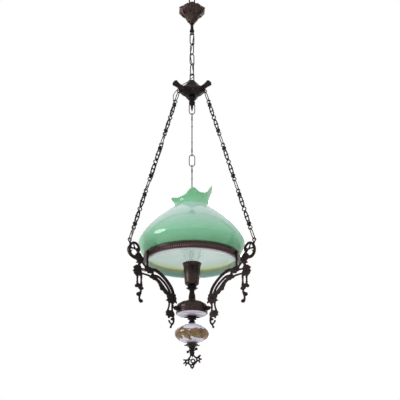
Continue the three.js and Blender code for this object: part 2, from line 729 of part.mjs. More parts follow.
function shadeProfile() {
  const lipInner = FITTER_RADIUS - GLASS;
  const outer = [[FITTER_RADIUS, FITTER_BOTTOM], [FITTER_RADIUS, lipTop]];
  const bowlLow = lipTop + 1;
  for (const share of [0, 0.16]) {
    const z = bowlLow + share * (NECK_BOTTOM - bowlLow);
    outer.push([bowlRadius(z), z]);
  }
  for (const share of [0, 0.24, 0.45, 0.65, 0.85, 1]) {
    const z = SHADE_WIDEST + share * (NECK_BOTTOM - SHADE_WIDEST);
    outer.push([bowlRadius(z), z]);
  }
  for (const share of [0.5, 1]) {
    outer.push([NECK_RADIUS, NECK_BOTTOM + share * (RIM_HEIGHT - NECK_BOTTOM)]);
  }
  const inner = [];
  for (let i = outer.length - 1; i >= 2; i -= 1) {
    const [r, z] = outer[i];
    const before = outer[i - 1];
    const after = outer[Math.min(i + 1, outer.length - 1)];
    const along = new THREE.Vector2(after[0] - before[0], after[1] - before[1]).normalize();
    const level = i === outer.length - 1 ? 0 : along.x * GLASS;
    inner.push([r - along.y * GLASS, z + level]);
  }
  inner.push([lipInner, lipTop - 1], [lipInner, FITTER_BOTTOM]);
  return [...outer, ...inner];
}

function rimHeight(angle) {
  const tilt = Math.cos(angle - RIM_TILT_AZIMUTH * DEG);
  const crimp = Math.cos(RIM_CRIMPS * (angle - RIM_CRIMP_AZIMUTH * DEG));
  return RIM_HEIGHT + RIM_TILT * tilt + RIM_CRIMP * (1 + RIM_CRIMP_SHARE * tilt) * crimp;
}

function crimpMove(x, y, z) {
  if (z <= NECK_BOTTOM || Math.hypot(x, y) > NECK_RADIUS + 1) {
    return [x, y, z];
  }
  const angle = Math.atan2(y, x);
  const share = (z - NECK_BOTTOM) / (RIM_HEIGHT - NECK_BOTTOM);
  const crimp = Math.cos(RIM_CRIMPS * (angle - RIM_CRIMP_AZIMUTH * DEG));
  const radius = Math.hypot(x, y) + share ** 2 * (RIM_FLARE + RIM_WAVE * crimp);
  const height = NECK_BOTTOM + share * (rimHeight(angle) - NECK_BOTTOM);
  return [radius * Math.cos(angle), radius * Math.sin(angle), height];
}

function shadeGlass() {
  return reshaped(turned(shadeProfile(), 6 * RIM_CRIMPS), crimpMove);
}

// Arms. The drawing's own radii and heights are carried to the real ones by the three places that
// an arm must reach: the cap's seat, the ring and the chain.
const postAxis = RING_OUTER + GAP + POST_WIDTH / 2;
const capSeat = CAP_RADIUS + GAP;

/** Drawing radius to real radius. */
function armR(r) {
  const marks = [[44.3, capSeat], [139.4, postAxis], [194, ARM_EYE_RADIUS]];
  const pair = r < marks[1][0] ? [marks[0], marks[1]] : [marks[1], marks[2]];
  const t = (r - pair[0][0]) / (pair[1][0] - pair[0][0]);
  return pair[0][1] + t * (pair[1][1] - pair[0][1]);
}

/** How much wider than drawn the arm is about a drawing radius; its lines and nubs grow with it. */
function armGrowth(r) {
  return Math.max(1, armR(r + 0.5) - armR(r - 0.5));
}

/** Drawing height to real height. */
function armZ(z) {
  if (z >= 0) {
    return z * ARM_EYE_HEIGHT / 35;
  }
  return z * FOOT_LEVEL / -135.5;
}

function armLine(points, startWidth, endWidth, steps) {
  const real = points.map(([r, z]) => [armR(r), armZ(z)]);
  const growth = armGrowth(points[0][0]);
  return plate(strapShape(real, growth * startWidth, growth * endWidth, steps), ARM_THICKNESS);
}

function armLeaf(points, thickness = ARM_THICKNESS) {
  const shape = new THREE.Shape(points.map(([r, z]) => new THREE.Vector2(armR(r), armZ(z))));
  return plate(shape, thickness);
}

/** Round nub at the end of a spur. */
function armNub(r, z, radius) {
  return plate(discShape(armR(r), armZ(z), armGrowth(r) * radius), ARM_THICKNESS, 3);
}

function scrollPart() {
  const centre = [179.4, 8.4];
  const turns = [];
  for (let angle = -118; angle <= 168; angle += 28.6) {
    turns.push([centre[0] + 14.6 * Math.cos(angle * DEG), centre[1] + 20 * Math.sin(angle * DEG)]);
  }
  return [
    armLine(turns, 10, 7.4, 10),
    armNub(168.4, 9.4, 7),
    armLine([[192, 15.5], [181, 11], [171, 11.5]], 5, 6, 2),
    armLine([[182, 26], [178, 13]], 3.4, 3.4, 1),
    armLeaf([[151, -15], [156, -7], [160, 0], [166, 3.5], [172, 0.5], [175.5, -4], [180, -9], [173.5, -16],
      [168.5, -20], [173, -27], [163, -27], [155, -25]], ARM_RELIEF),
    armLine([[160, -20], [162, -27], [166, -36]], 9, 8.4, 2),
    armLine([[157, -21], [142, -37]], 5, 5, 1),
  ];
}

function bossPart() {
  return [
    armLeaf([[157.5, -41], [163, -32.5], [173.5, -32.5], [181.5, -39], [178, -44], [182.5, -50.5],
      [178, -58], [172, -63.5], [154, -63], [155, -53]], ARM_RELIEF),
    armLine([[162, -42.6], [136, -44.5]], 5.4, 5.4, 1),
    armLine([[162, -54.4], [145, -55.8], [124, -59]], 5.4, 6, 2),
    armLeaf([[147, -31], [145, -45], [136, -51], [120, -52], [119, -41], [127, -34.5], [136, -30.5]]),
    armLine([[168, -58], [168, -88]], 5.4, 5.2, 1),
    armLine([[156.4, -58], [156.4, -88]], 5.4, 5.2, 1),
    armLeaf([[168, -83], [172, -86], [166, -94], [160, -100], [153, -92], [153, -83]]),
    armLine([[160.5, -92], [156.8, -105], [161, -121], [158, -131]], 6.6, 5, 4),
    armNub(171, -91, 5),
    armNub(152.8, -96, 4.4),
    armNub(165.6, -113.5, 5.6),
    armNub(155.6, -131.4, 5.6),
  ];
}

function arcPart() {
  return [
    armLine([[137, -41.5], [116, -38.6], [97.6, -47], [79.6, -62], [64.2, -81.6], [57.4, -101], [56.4, -108]],
      9.6, 9.2, 7),
    armLine([[127, -55.5], [108, -55.5], [90, -67], [76, -82.4], [67.4, -100]], 8, 8, 5),
    armLeaf([[131, -56], [131, -63], [103.5, -75.5], [98, -92], [90, -93], [84, -101], [79, -102],
      [76, -111], [66, -106], [70, -97], [88, -73], [116, -56]]),
    armLine([[123, -42], [121, -56]], 6, 6, 1),
    armLeaf([[51, -98], [73, -98], [77.5, -107], [76, -113], [82, -119], [73.5, -120],
      [71.5, -126], [58, -127.5], [55.5, -121.5], [46.5, -123.5], [50.5, -115]], ARM_RELIEF),
  ];
}

function lowerPart() {
  return [
    armLine([[70.6, -120], [71.4, -133], [77.5, -151]], 5.2, 6, 2),
    armLine([[61, -120], [62, -138], [60, -156]], 5.4, 6, 2),
    armLeaf([[55, -153], [62, -145.5], [69, -144], [76, -146], [82, -150], [79.5, -155], [81, -160],
      [74, -161], [71, -167.5], [66.5, -162], [59, -162.5], [55, -158]], ARM_RELIEF),
    armLine([[60, -156], [57, -168], [58.4, -178.5], [63.4, -185], [66.4, -192]], 7, 4.6, 5),
    armLine([[60, -182], [67.5, -179], [71.4, -174]], 5.4, 4.4, 2),
    armNub(63.6, -168.6, 3.6),
    armNub(70.6, -173.6, 3.4),
  ];
}

/** Foot: a loop on the inner bar that ends in a pad against the cap's side. */
function footPart() {
  const padInner = capSeat;
  const pad = new THREE.BoxGeometry(FOOT_THICKNESS, FOOT_WIDTH, FOOT_HEIGHT);
  pad.translate(padInner + FOOT_THICKNESS / 2, 0, FOOT_LEVEL);
  const hub = padInner + FOOT_THICKNESS + 4.4;
  const outer = 5.2;
  return [
    pad,
    plate(discShape(hub, FOOT_LEVEL, outer, 2.2), ARM_THICKNESS),
    plate(strapShape([[hub + 3.4, FOOT_LEVEL], [armR(63), FOOT_LEVEL]], 6, 6, 1), ARM_THICKNESS),
  ];
}

function postPart() {
  const upright = plate(strapShape([[postAxis, POST_TOP - POST_WIDTH / 2], [postAxis, armZ(-38)]],
    POST_WIDTH, POST_WIDTH, 1), ARM_THICKNESS);
  const head = plate(discShape(postAxis, POST_TOP - POST_WIDTH / 2 - 0.2, POST_WIDTH / 2), ARM_THICKNESS);
  return [upright, head];
}

function ringScrewRod(radius, from, to) {
  return rod(new THREE.Vector3(from, 0, RING_SCREW_HEIGHT), new THREE.Vector3(1, 0, 0), to - from, radius);
}

function scrollArm() {
  const eye = plate(discShape(ARM_EYE_RADIUS, ARM_EYE_HEIGHT, EYE_HOLE + EYE_WALL, EYE_HOLE), EYE_THICKNESS);
  const neck = plate(strapShape([[ARM_EYE_RADIUS, ARM_EYE_HEIGHT - EYE_HOLE - 1], [armR(190), armZ(20)]],
    6, 7, 1), EYE_THICKNESS);
  const whole = join(
    ...scrollPart(), ...bossPart(), ...arcPart(), ...lowerPart(), ...footPart(), ...postPart(), eye, neck);
  const eyeBore = rod(new THREE.Vector3(ARM_EYE_RADIUS, -ARM_THICKNESS, ARM_EYE_HEIGHT),
    new THREE.Vector3(0, 1, 0), 2 * ARM_THICKNESS, EYE_HOLE);
  const postBore = ringScrewRod(RING_SCREW_RADIUS + GAP, RING_OUTER - 2, postAxis + POST_WIDTH);
  return cut(whole, eyeBore, postBore);
}

function ringScrew() {
  const face = postAxis + POST_WIDTH / 2 + GAP;
  const shank = ringScrewRod(RING_SCREW_RADIUS, ringInner + 0.5, face + 1);
  const head = turned([
    [0, 0], [RING_SCREW_HEAD, 0], [RING_SCREW_HEAD, 0.9],
    [0.7 * RING_SCREW_HEAD, RING_SCREW_HEAD_LENGTH], [0, RING_SCREW_HEAD_LENGTH],
  ], 10).rotateY(Math.PI / 2).translate(face, 0, RING_SCREW_HEIGHT);
  return join(shank, head);
}

// Column, from the socket cup down to the drop finial, all clamped on one hollow rod
const rodHole = ROD_RADIUS + GAP;
const collarTop = CUP_BOTTOM - GAP;
const columnTop = collarTop - COLLAR_HEIGHT - GAP;
const capTop = columnTop - COLUMN_STEM_HEIGHT - GAP;
const capRim = capTop - CAP_HEIGHT;
const dishTop = capRim - GAP;
const spindleTop = dishTop - DISH_DEPTH - GAP;
const ballTop = spindleTop - SPINDLE_HEIGHT - GAP;
const ballFoot = ballTop - BALL_HEIGHT;
const leafCupTop = ballFoot - GAP;
const finialTop = leafCupTop - LEAF_CUP_HEIGHT - GAP;

function socketCup() {
  const height = CUP_LIP - CUP_BOTTOM;
  const at = (share) => CUP_BOTTOM + share * height;
  return turned([
    [rodHole, CUP_BOTTOM], [0.55 * CUP_FOOT_RADIUS, CUP_BOTTOM], [0.86 * CUP_FOOT_RADIUS, at(0.05)],
    [CUP_FOOT_RADIUS, at(0.14)], [CUP_FOOT_RADIUS + 1.8, at(0.4)], [CUP_FOOT_RADIUS + 3, at(0.86)],
    [CUP_RADIUS, at(0.93)], [CUP_RADIUS, CUP_LIP], [CUP_RADIUS - CUP_WALL, CUP_LIP],
    [CUP_RADIUS - CUP_WALL, at(0.94)], [CUP_FOOT_RADIUS + 3 - CUP_WALL, at(0.87)],
    [CUP_FOOT_RADIUS + 1.8 - CUP_WALL, at(0.4)], [CUP_FOOT_RADIUS - CUP_WALL, at(0.16)],
    [0.8 * CUP_FOOT_RADIUS, at(0.08)], [0.55 * CUP_FOOT_RADIUS, CUP_BOTTOM + CUP_WALL],
    [rodHole, CUP_BOTTOM + CUP_WALL],
  ], 18);
}

/** Ring of leaves round the axis: the profile's edge swells and dips as many times as it has leaves. */
function leafy(profile, leaves, depth, from, segments = 24) {
  return reshaped(turned(profile, segments), (x, y, z) => {
    const radius = Math.hypot(x, y);
    const angle = Math.atan2(y, x);
    const share = smooth(from, from * 1.6, radius);
    const grown = radius * (1 + share * depth * Math.cos(leaves * angle));
    return [grown * Math.cos(angle), grown * Math.sin(angle), z];
  });
}

function leafCollar() {
  const foot = collarTop - COLLAR_HEIGHT;
  const at = (share) => foot + share * COLLAR_HEIGHT;
  return leafy([
    [rodHole, foot], [0.55 * COLLAR_RADIUS, foot], [0.7 * COLLAR_RADIUS, at(0.3)],
    [COLLAR_RADIUS, at(0.55)], [0.94 * COLLAR_RADIUS, at(0.75)], [0.78 * COLLAR_RADIUS, collarTop],
    [rodHole, collarTop],
  ], 8, 0.07, ROD_RADIUS + 2, 24);
}

function columnStem() {
  const foot = columnTop - COLUMN_STEM_HEIGHT;
  const at = (share) => foot + share * COLUMN_STEM_HEIGHT;
  return turned([
    [rodHole, foot], [STEM_BULGE + 0.8, foot], [STEM_BULGE + 1, at(0.08)], [STEM_BULGE - 1.4, at(0.2)],
    [STEM_BULGE, at(0.45)], [STEM_BULGE - 0.4, at(0.6)], [STEM_BULGE - 2.4, at(0.8)],
    [STEM_BULGE - 1.8, columnTop], [rodHole, columnTop],
  ], 16);
}

function dishCap() {
  const side = capRim + CAP_SIDE;
  const rise = capTop - side;
  const outer = [
    [CAP_RADIUS, capRim], [CAP_RADIUS, side], [0.93 * CAP_RADIUS, side + 0.28 * rise],
    [0.74 * CAP_RADIUS, side + 0.52 * rise], [0.48 * CAP_RADIUS, side + 0.7 * rise],
    [0.28 * CAP_RADIUS, side + 0.84 * rise], [0.27 * CAP_RADIUS, capTop], [rodHole, capTop],
  ];
  const w = CAP_WALL;
  const inner = [
    [rodHole, side + 0.84 * rise - w], [0.48 * CAP_RADIUS, side + 0.7 * rise - w],
    [0.74 * CAP_RADIUS - w / 2, side + 0.52 * rise - w],
    [0.93 * CAP_RADIUS - w, side + 0.22 * rise - w / 2], [CAP_RADIUS - w - 1, capRim],
  ];
  const leadHole = rod(
    polar(CAP_RADIUS - 8, leadCapAzimuth, leadLevel + 0.5), polar(1, leadCapAzimuth, 0), 14, LEAD / 2 + 2 * SLIP);
  return cut(turned([...outer, ...inner], 24), leadHole);
}

function porcelainDish() {
  const r = CAP_RADIUS - 0.4;
  const foot = dishTop - DISH_DEPTH;
  return turned([
    [rodHole, foot], [0.3 * r, foot], [0.7 * r, foot + 1.2], [0.9 * r, foot + 3.4], [0.985 * r, dishTop - 3],
    [r, dishTop - 1], [r - 1, dishTop], [r - DISH_WALL - 2, dishTop], [0.86 * r, foot + DISH_WALL + 3],
    [0.66 * r, foot + DISH_WALL + 1], [rodHole, foot + DISH_WALL],
  ], 20);
}

function neckSpindle() {
  const foot = spindleTop - SPINDLE_HEIGHT;
  const at = (share) => foot + share * SPINDLE_HEIGHT;
  return leafy([
    [rodHole, foot], [0.8 * KNOB_RADIUS, foot], [KNOB_RADIUS, at(0.14)], [KNOB_RADIUS, at(0.28)],
    [0.72 * KNOB_RADIUS, at(0.4)], [0.86 * KNOB_RADIUS, at(0.62)], [1.2 * KNOB_RADIUS, at(0.82)],
    [ROSETTE_RADIUS, at(0.9)], [ROSETTE_RADIUS - 1, spindleTop], [rodHole, spindleTop],
  ], 6, 0.08, KNOB_RADIUS + 1, 18);
}

function porcelainBall() {
  const half = BALL_HEIGHT / 2;
  const middle = ballFoot + half;
  const arc = (radius, rise, from, to, count) => {
    const points = [];
    for (let i = 0; i <= count; i += 1) {
      const angle = (from + (to - from) * i / count) * DEG;
      points.push([radius * Math.cos(angle), middle + rise * Math.sin(angle)]);
    }
    return points;
  };
  const pole = Math.acos(BALL_POLE_RADIUS / BALL_RADIUS) / DEG;
  const trimmed = half / Math.sin(pole * DEG);
  const inner = arc(BALL_RADIUS - BALL_WALL, trimmed - BALL_WALL, pole - 2, -pole + 2, 4);
  return turned([
    [rodHole, ballFoot], ...arc(BALL_RADIUS, trimmed, -pole, pole, 8), [rodHole, ballTop],
    [rodHole, ballTop - BALL_WALL], ...inner, [rodHole, ballFoot + BALL_WALL],
  ], 24);
}

function leafCup() {
  const foot = leafCupTop - LEAF_CUP_HEIGHT;
  const at = (share) => foot + share * LEAF_CUP_HEIGHT;
  return leafy([
    [rodHole, foot], [0.42 * LEAF_CUP_RADIUS, foot], [0.5 * LEAF_CUP_RADIUS, at(0.3)],
    [0.72 * LEAF_CUP_RADIUS, at(0.44)], [LEAF_CUP_RADIUS, at(0.4)], [0.97 * LEAF_CUP_RADIUS, at(0.56)],
    [0.74 * LEAF_CUP_RADIUS, at(0.8)], [0.45 * LEAF_CUP_RADIUS, leafCupTop], [rodHole, leafCupTop],
  ], 6, 0.08, 0.5 * LEAF_CUP_RADIUS, 18);
}

/** Drop finial: a waisted shaft with two side balls over a pierced tracery of rings and spurs. */
function dropFinial() {
  const at = (drop) => finialTop - drop;
  const threadDepth = 12;
  const thread = tube(ROD_RADIUS + GAP, 0, at(threadDepth), at(-1), 12);
  const shaft = turned([
    [0, at(25)], [3.4, at(24)], [FINIAL_SHAFT - 2, at(19)], [FINIAL_SHAFT - 1, at(12)],
    [FINIAL_SHAFT, at(4)], [FINIAL_SHAFT + 1, at(0)], [0, at(0)],
  ], 12);
  const bar = (points, from, to, steps) => plate(
    strapShape(points.map(([x, drop]) => [x, at(drop)]), from, to, steps), FINIAL_DEPTH);
  const loop = (x, drop, radius, hole) => plate(discShape(x, at(drop), radius, hole), FINIAL_DEPTH);
  const spur = (fromX, fromDrop, x, drop) => bar([[fromX, fromDrop], [x, drop]], 5, 3, 1);
  const bead = (x, drop, radius) => ball(x, 0, at(drop), radius, 6, 3);
  return cut(join(
    shaft,
    bar([[-FINIAL_SHAFT + 3, 11], [-11, 13]], 3, 2.6, 1), bead(-11.6, 13.2, 3.8),
    bar([[FINIAL_SHAFT - 3, 8], [11, 5.5]], 3, 2.6, 1), bead(12, 5, 3.8),
    bar([[-3, 19], [-5, 27], [-10, 33]], 4, 3.4, 2),
    bar([[3, 19], [6, 25], [12, 29], [20, 25]], 4, 3.4, 4),
    bar([[0.5, 22], [1.5, 28]], 3.4, 2.6, 1),
    loop(-12.5, 39.5, 6.4, 2.2), spur(-17, 36.5, -22, 35), spur(-17, 42, -22, 44.5), spur(-14, 44, -17, 50),
    loop(16.5, 33, 6, 2), spur(18, 26, 22, 22), spur(21, 33, 25, 33), spur(18.5, 37.5, 21, 42),
    loop(2.5, 38, 6.6, 3.4),
    bar([[-9, 44.5], [-4, 48.5], [0, 50]], 4, 4, 3),
    bar([[13, 37.5], [9.5, 43], [4, 48]], 4, 4, 3),
    bar([[2.2, 44], [1.5, 48]], 3.4, 3.4, 1),
    loop(0.5, 51.5, 5.8, 2), bead(0.5, FINIAL_DROP - 1, 2.6)), thread);
}

// Hollow tie rod from the holder to the finial
const rodTop = CUP_BOTTOM + CUP_WALL + GAP + HOLDER_BASE - 1;
const rodBottom = finialTop - 12 + GAP;

function tieRod() {
  const leadHole = rod(polar(2, leadCapAzimuth, leadLevel + 4), polar(1, leadCapAzimuth, 0), 5, LEAD + SLIP);
  return cut(tube(ROD_RADIUS, ROD_BORE, rodBottom, rodTop, 12), leadHole);
}

// Lamp holder and bulb
const holderFoot = CUP_BOTTOM + CUP_WALL + GAP;
const holderTop = BULB_SEAT - 6;
const shellOuter = HOLDER_RADIUS - HOLDER_WALL - GAP;
const capFoot = BULB_SEAT - BULB_CAP_LENGTH;
const shellFoot = capFoot - 6;
const contactFoot = shellFoot - CONTACT_LENGTH + 5;

function holderBody() {
  const pocket = shellFoot - GAP;
  return turned([
    [rodHole, holderFoot], [10, holderFoot], [15.2, holderFoot + 3.6], [17.8, holderFoot + 8.8],
    [HOLDER_RADIUS, holderFoot + 14],
    [HOLDER_RADIUS, holderTop], [HOLDER_RADIUS - HOLDER_WALL, holderTop],
    [HOLDER_RADIUS - HOLDER_WALL, pocket], [4, pocket], [4, contactFoot - GAP],
    [ROD_RADIUS + 4, contactFoot - GAP - 0.01], [ROD_RADIUS + 4, holderFoot + HOLDER_BASE],
    [rodHole, holderFoot + HOLDER_BASE],
  ], 16);
}

function screwShell() {
  const inner = shellOuter - SHELL_WALL;
  return turned([
    [6, shellFoot], [shellOuter, shellFoot], [shellOuter, holderTop - 0.5], [inner, holderTop - 0.5],
    [inner, shellFoot + SHELL_WALL], [6, shellFoot + SHELL_WALL],
  ], 16);
}

function centreContact() {
  return turned([
    [0, contactFoot], [3.4, contactFoot], [3.4, capFoot - GAP - 2.5], [2.4, capFoot - GAP - 1.6],
    [0, capFoot - GAP - 1.6],
  ], 12);
}

function bulbCap() {
  const rim = BULB_SEAT;
  const r = BULB_CAP_RADIUS;
  return turned([
    [0, capFoot - 1.5], [4.5, capFoot - 1.5], [5, capFoot], [r - 3, capFoot + 3], [r, capFoot + 5],
    [r, rim - 2], [r + 0.6, rim - 1], [r + 0.6, rim], [r - 0.7, rim], [r - 0.7, capFoot + 6],
    [r - 4, capFoot + 4], [0, capFoot + 1.5],
  ], 16);
}

function bulbGlass() {
  const top = BULB_SEAT + BULB_LENGTH;
  const centre = top - BULB_RADIUS;
  const outer = [[BULB_CAP_RADIUS - 2, BULB_SEAT + GAP], [BULB_NECK - 1.5, BULB_SEAT + 3],
    [BULB_NECK, BULB_SEAT + 10], [0.72 * BULB_RADIUS, centre - 24]];
  const spans = [-26, 4, 34, 62];
  for (const span of spans) {
    outer.push([BULB_RADIUS * Math.cos(span * DEG), centre + BULB_RADIUS * Math.sin(span * DEG)]);
  }
  const w = BULB_GLASS_WALL;
  const inner = [];
  for (let i = outer.length - 1; i >= 1; i -= 1) {
    const span = i >= 4 ? spans[i - 4] : 0;
    inner.push([outer[i][0] - w * Math.cos(span * DEG), outer[i][1] - w * Math.sin(span * DEG)]);
  }
  inner.push([BULB_CAP_RADIUS - 3, BULB_SEAT + GAP]);
  return turned([...outer, [0, top], [0, top - w], ...inner], 16);
}

/** Glass stem inside the bulb with its splayed foot, two lead wires and the filament cage. */
function bulbMount() {
  const foot = BULB_SEAT + GAP;
  const head = BULB_SEAT + 0.5 * BULB_LENGTH;
  const stem = turned([
    [0, foot], [BULB_CAP_RADIUS - 3.6, foot], [4, foot + 6], [2.4, foot + 12], [2.2, head - 2],
    [3.2, head], [2.2, head + 2], [0, head + 2],
  ], 8);
  const wires = [1, -1].map((side) => wire(new THREE.CatmullRomCurve3([
    new THREE.Vector3(side * 1.4, 0, foot + 14), new THREE.Vector3(side * 5, 0, head - 8),
    new THREE.Vector3(side * 11, 0, head + 3),
  ]), 0.9, 3, 5));
  const filament = wire(new THREE.CatmullRomCurve3([
    new THREE.Vector3(-11.2, 0, head + 3), new THREE.Vector3(-6, 0, head + 9),
    new THREE.Vector3(0, 0, head + 1), new THREE.Vector3(6, 0, head + 9), new THREE.Vector3(11.2, 0, head + 3),
  ]), 0.9, 8, 5);
  return join(stem, ...wires, filament);
}

// Lead: down the stem, in a slow turn through the centre chain, over the crown, in and out of the left
// side chain, then behind the left arm into the cap and up the hollow rod to the holder
const leadLevel = FOOT_LEVEL + 0.5;
const leadBehind = -ARM_RELIEF / 2 - LEAD / 2 - SLIP;
const leadCapAzimuth = AZIMUTHS.left - 13;

/** Point at the left side: radius from the axis, height, and how far it lies towards the camera. */
function besideLeft(radius, height, near) {
  const offset = polar(near, AZIMUTHS.left + 90, 0);
  return polar(radius, AZIMUTHS.left, height).add(offset);
}

/** Point beside the left side chain: distance down it, outwards from it, and towards the camera. */
function besideChain(distance, out, near) {
  const lean = chainLean * DEG;
  return besideLeft(
    CROWN_EYE_RADIUS + distance * Math.sin(lean) + out * Math.cos(lean),
    crownEyeZ - distance * Math.cos(lean) + out * Math.sin(lean), near);
}

/** Point behind the left arm, given in the arm's drawing. */
function behindArm(radius, height) {
  return besideLeft(armR(radius), ringPlane + armZ(height), leadBehind);
}

/** The lead through all its points in turn, with a number of steps between each two. */
function leadWire(points, steps = 1) {
  const route = new THREE.CatmullRomCurve3(points, false, 'centripetal');
  const path = new SteppedPath((t) => route.getPoint(t));
  return wire(path, LEAD, steps * (points.length - 1), LEAD_SIDES);
}

/** Point on the line from a through b, a distance past b. */
function past([a, b], distance) {
  return b.clone().add(b.clone().sub(a).setLength(distance));
}

// The last two points of each stretch, which the next one follows on from
const overCrown = [polar(32, 243, crownTop - 17), polar(43, 240, crownTop - 26)];
const atArmEye = [besideChain(chainLength - 14, -4.6, -5.2), besideChain(chainLength - 9, -4.8, -5.4)];

/** From above the stem to the crown's edge; it passes through each link and beside each bearing. */
function leadCentre() {
  const points = [
    new THREE.Vector3(0, 0, loopBossTop + 6),
    new THREE.Vector3(0, 0, stemTop - 12),
    new THREE.Vector3(0, 0, stemBottom + 12),
    polar(0.7, CHAIN_TURN - 45, stemBottom + 1),
    polar(2.2, CHAIN_TURN - 45, nutBottom + 0.2),
    polar(4, CHAIN_TURN - 45, nutBottom - 3.4),
    polar(5.2, CHAIN_TURN - 45, nutBottom - 6.4),
  ];
  for (let turn = -0.5; turn <= LINK_COUNT - 0.5; turn += 0.25) { // in links
    const angle = turn * 90;
    const radius = 3.9 + 1.6 * Math.sin(2 * angle * DEG) ** 2;
    points.push(polar(radius, CHAIN_TURN + angle, linkTop(0) - LINK_BEARING / 2 - turn * linkPitch));
  }
  points.push(
    polar(6.6, CHAIN_TURN - 60, crownBearing - 5),
    polar(9.4, 305, crownBearing - 10.5),
    polar(13.5, 275, crownTop + 7),
    polar(21.5, 250, crownTop - 5),
    ...overCrown);
  return leadWire(points);
}

/** From the crown's edge with a slack bow, then through the wire links from side to side. */
function leadSide() {
  const pitch = WIRE_LENGTH + ORNATE_LENGTH + 2 * ornateSeat;
  const firstWire = eyeSeat + WIRE_LENGTH / 2;
  const half = WIRE_LENGTH / 2 + 3;
  const points = [
    past(overCrown, GAP),
    past(overCrown, 5),
    polar(58, 224, crownTop - 46),
    besideChain(30, 15, 9),
    besideChain(56, 4.5, 6),
  ];
  for (let i = 1; i < ORNATES; i += 1) {
    const centre = firstWire + i * pitch;
    const from = i % 2 ? 1 : -1;
    points.push(
      besideChain(centre - pitch / 2, from * 3, 5.8),
      besideChain(centre - half, from * 3.9, 4.6),
      besideChain(centre, 0, 4.2),
      besideChain(centre + half, -from * 3.9, 4.6));
  }
  const last = firstWire + ORNATES * pitch;
  points.push(
    besideChain(last - pitch / 2, 3, 5.8),
    besideChain(last - half, 3.9, 4.6),
    besideChain(last - 3, 0, 0.5),
    besideChain(last + 4, -3.8, -4.4),
    ...atArmEye);
  return leadWire(points, 2);
}

/** Behind the left arm, through the cap's side and the rod's side hole, and up to the holder. */
function leadArm() {
  const points = [
    past(atArmEye, GAP),
    past(atArmEye, 6),
    ...[[190, 25], [197, 12], [196, 2], [190, -7], [180, -13], [169, -17], [162, -28], [159, -40],
      [149, -44.5], [134, -43.5], [116, -39.5], [98, -48], [80, -63], [65, -82], [58, -100], [56.5, -112],
    ].map(([r, z]) => behindArm(r, z)),
    polar(54, leadCapAzimuth + 3, ringPlane + leadLevel + 9),
    polar(CAP_RADIUS + 4, leadCapAzimuth, ringPlane + leadLevel + 1),
    polar(CAP_RADIUS - 10, leadCapAzimuth, ringPlane + leadLevel),
    polar(11, leadCapAzimuth, ringPlane + leadLevel + 0.5),
    polar(5.5, leadCapAzimuth, ringPlane + leadLevel + 2.4),
    polar(1.8, leadCapAzimuth, ringPlane + leadLevel + 6),
    new THREE.Vector3(0, 0, ringPlane + leadLevel + 12),
    new THREE.Vector3(0, 0, ringPlane + leadLevel + 30),
    new THREE.Vector3(0, 0, ringPlane + rodTop + 3),
  ];
  return leadWire(points);
}

place(lamp, 'hanging_loop', hangingLoop(), darkCast);
place(lamp, 'stem_tube', stemTube(), darkCast);
place(lamp, 'stem_eye', stemEye(), darkCast);
place(lamp, 'canopy', canopy(), bronze);
place(lamp, 'canopy_thumb_screw', canopyScrew(), darkCast);
for (let i = 0; i < LINK_COUNT; i += 1) {
  const link = place(lamp, `centre_link_${i + 1}`, chainLink(), darkCast);
  link.position.z = linkTop(i) - LINK_BEARING / 2;
  link.rotation.z = (CHAIN_TURN + (i % 2 ? 90 : 0)) * DEG;
}
place(lamp, 'crown_loop', crownLoop(), darkCast);
place(lamp, 'crown_body', crownBody(), bronze);
place(lamp, 'crown_finial', crownFinial(), darkCast);
for (const side of Object.keys(AZIMUTHS)) {
  addSideChain(side);
}

place(lamp, 'lead_centre', leadCentre(), sleeve);
place(lamp, 'lead_side', leadSide(), sleeve);
place(lamp, 'lead_arm', leadArm(), sleeve);

const lower = new THREE.Group();
lower.position.z = ringPlane;
lamp.add(lower);
const armShape = scrollArm();
const screwShape = ringScrew();
for (const [side, azimuth] of Object.entries(AZIMUTHS)) {
  const about = new THREE.Group();
  about.rotation.z = azimuth * DEG;
  lower.add(about);
  place(about, `arm_${side}`, armShape, darkCast);
  place(about, `ring_screw_${side}`, screwShape, steel);
}
place(lower, 'gallery_ring', galleryRing(), bronze);
place(lower, 'shade_glass', shadeGlass(), opal);
place(lower, 'socket_cup', socketCup(), bronze);
place(lower, 'holder_body', holderBody(), ceramic);
place(lower, 'holder_screw_shell', screwShell(), brass);
place(lower, 'holder_contact', centreContact(), brass);
place(lower, 'bulb_cap', bulbCap(), brass);
place(lower, 'bulb_glass', bulbGlass(), clear);
place(lower, 'bulb_mount', bulbMount(), clear);
place(lower, 'leaf_collar', leafCollar(), darkCast);
place(lower, 'column_stem', columnStem(), darkCast);
place(lower, 'dish_cap', dishCap(), bronze);
place(lower, 'porcelain_dish', porcelainDish(), porcelain);
place(lower, 'neck_spindle', neckSpindle(), darkCast);
place(lower, 'porcelain_ball', porcelainBall(), porcelain);
place(lower, 'leaf_cup', leafCup(), bronze);
place(lower, 'drop_finial', dropFinial(), darkCast);
place(lower, 'tie_rod', tieRod(), steel);

export default lamp;
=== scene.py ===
"""Hanging lamp: crimped glass shade, pierced cast arms and ornate chains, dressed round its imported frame.

Drawn sizes are millimetres in the part's own frame, and every mesh is made in metres.
"""

import math

import bmesh
import bpy
import numpy as np
from mathutils import Matrix, Vector


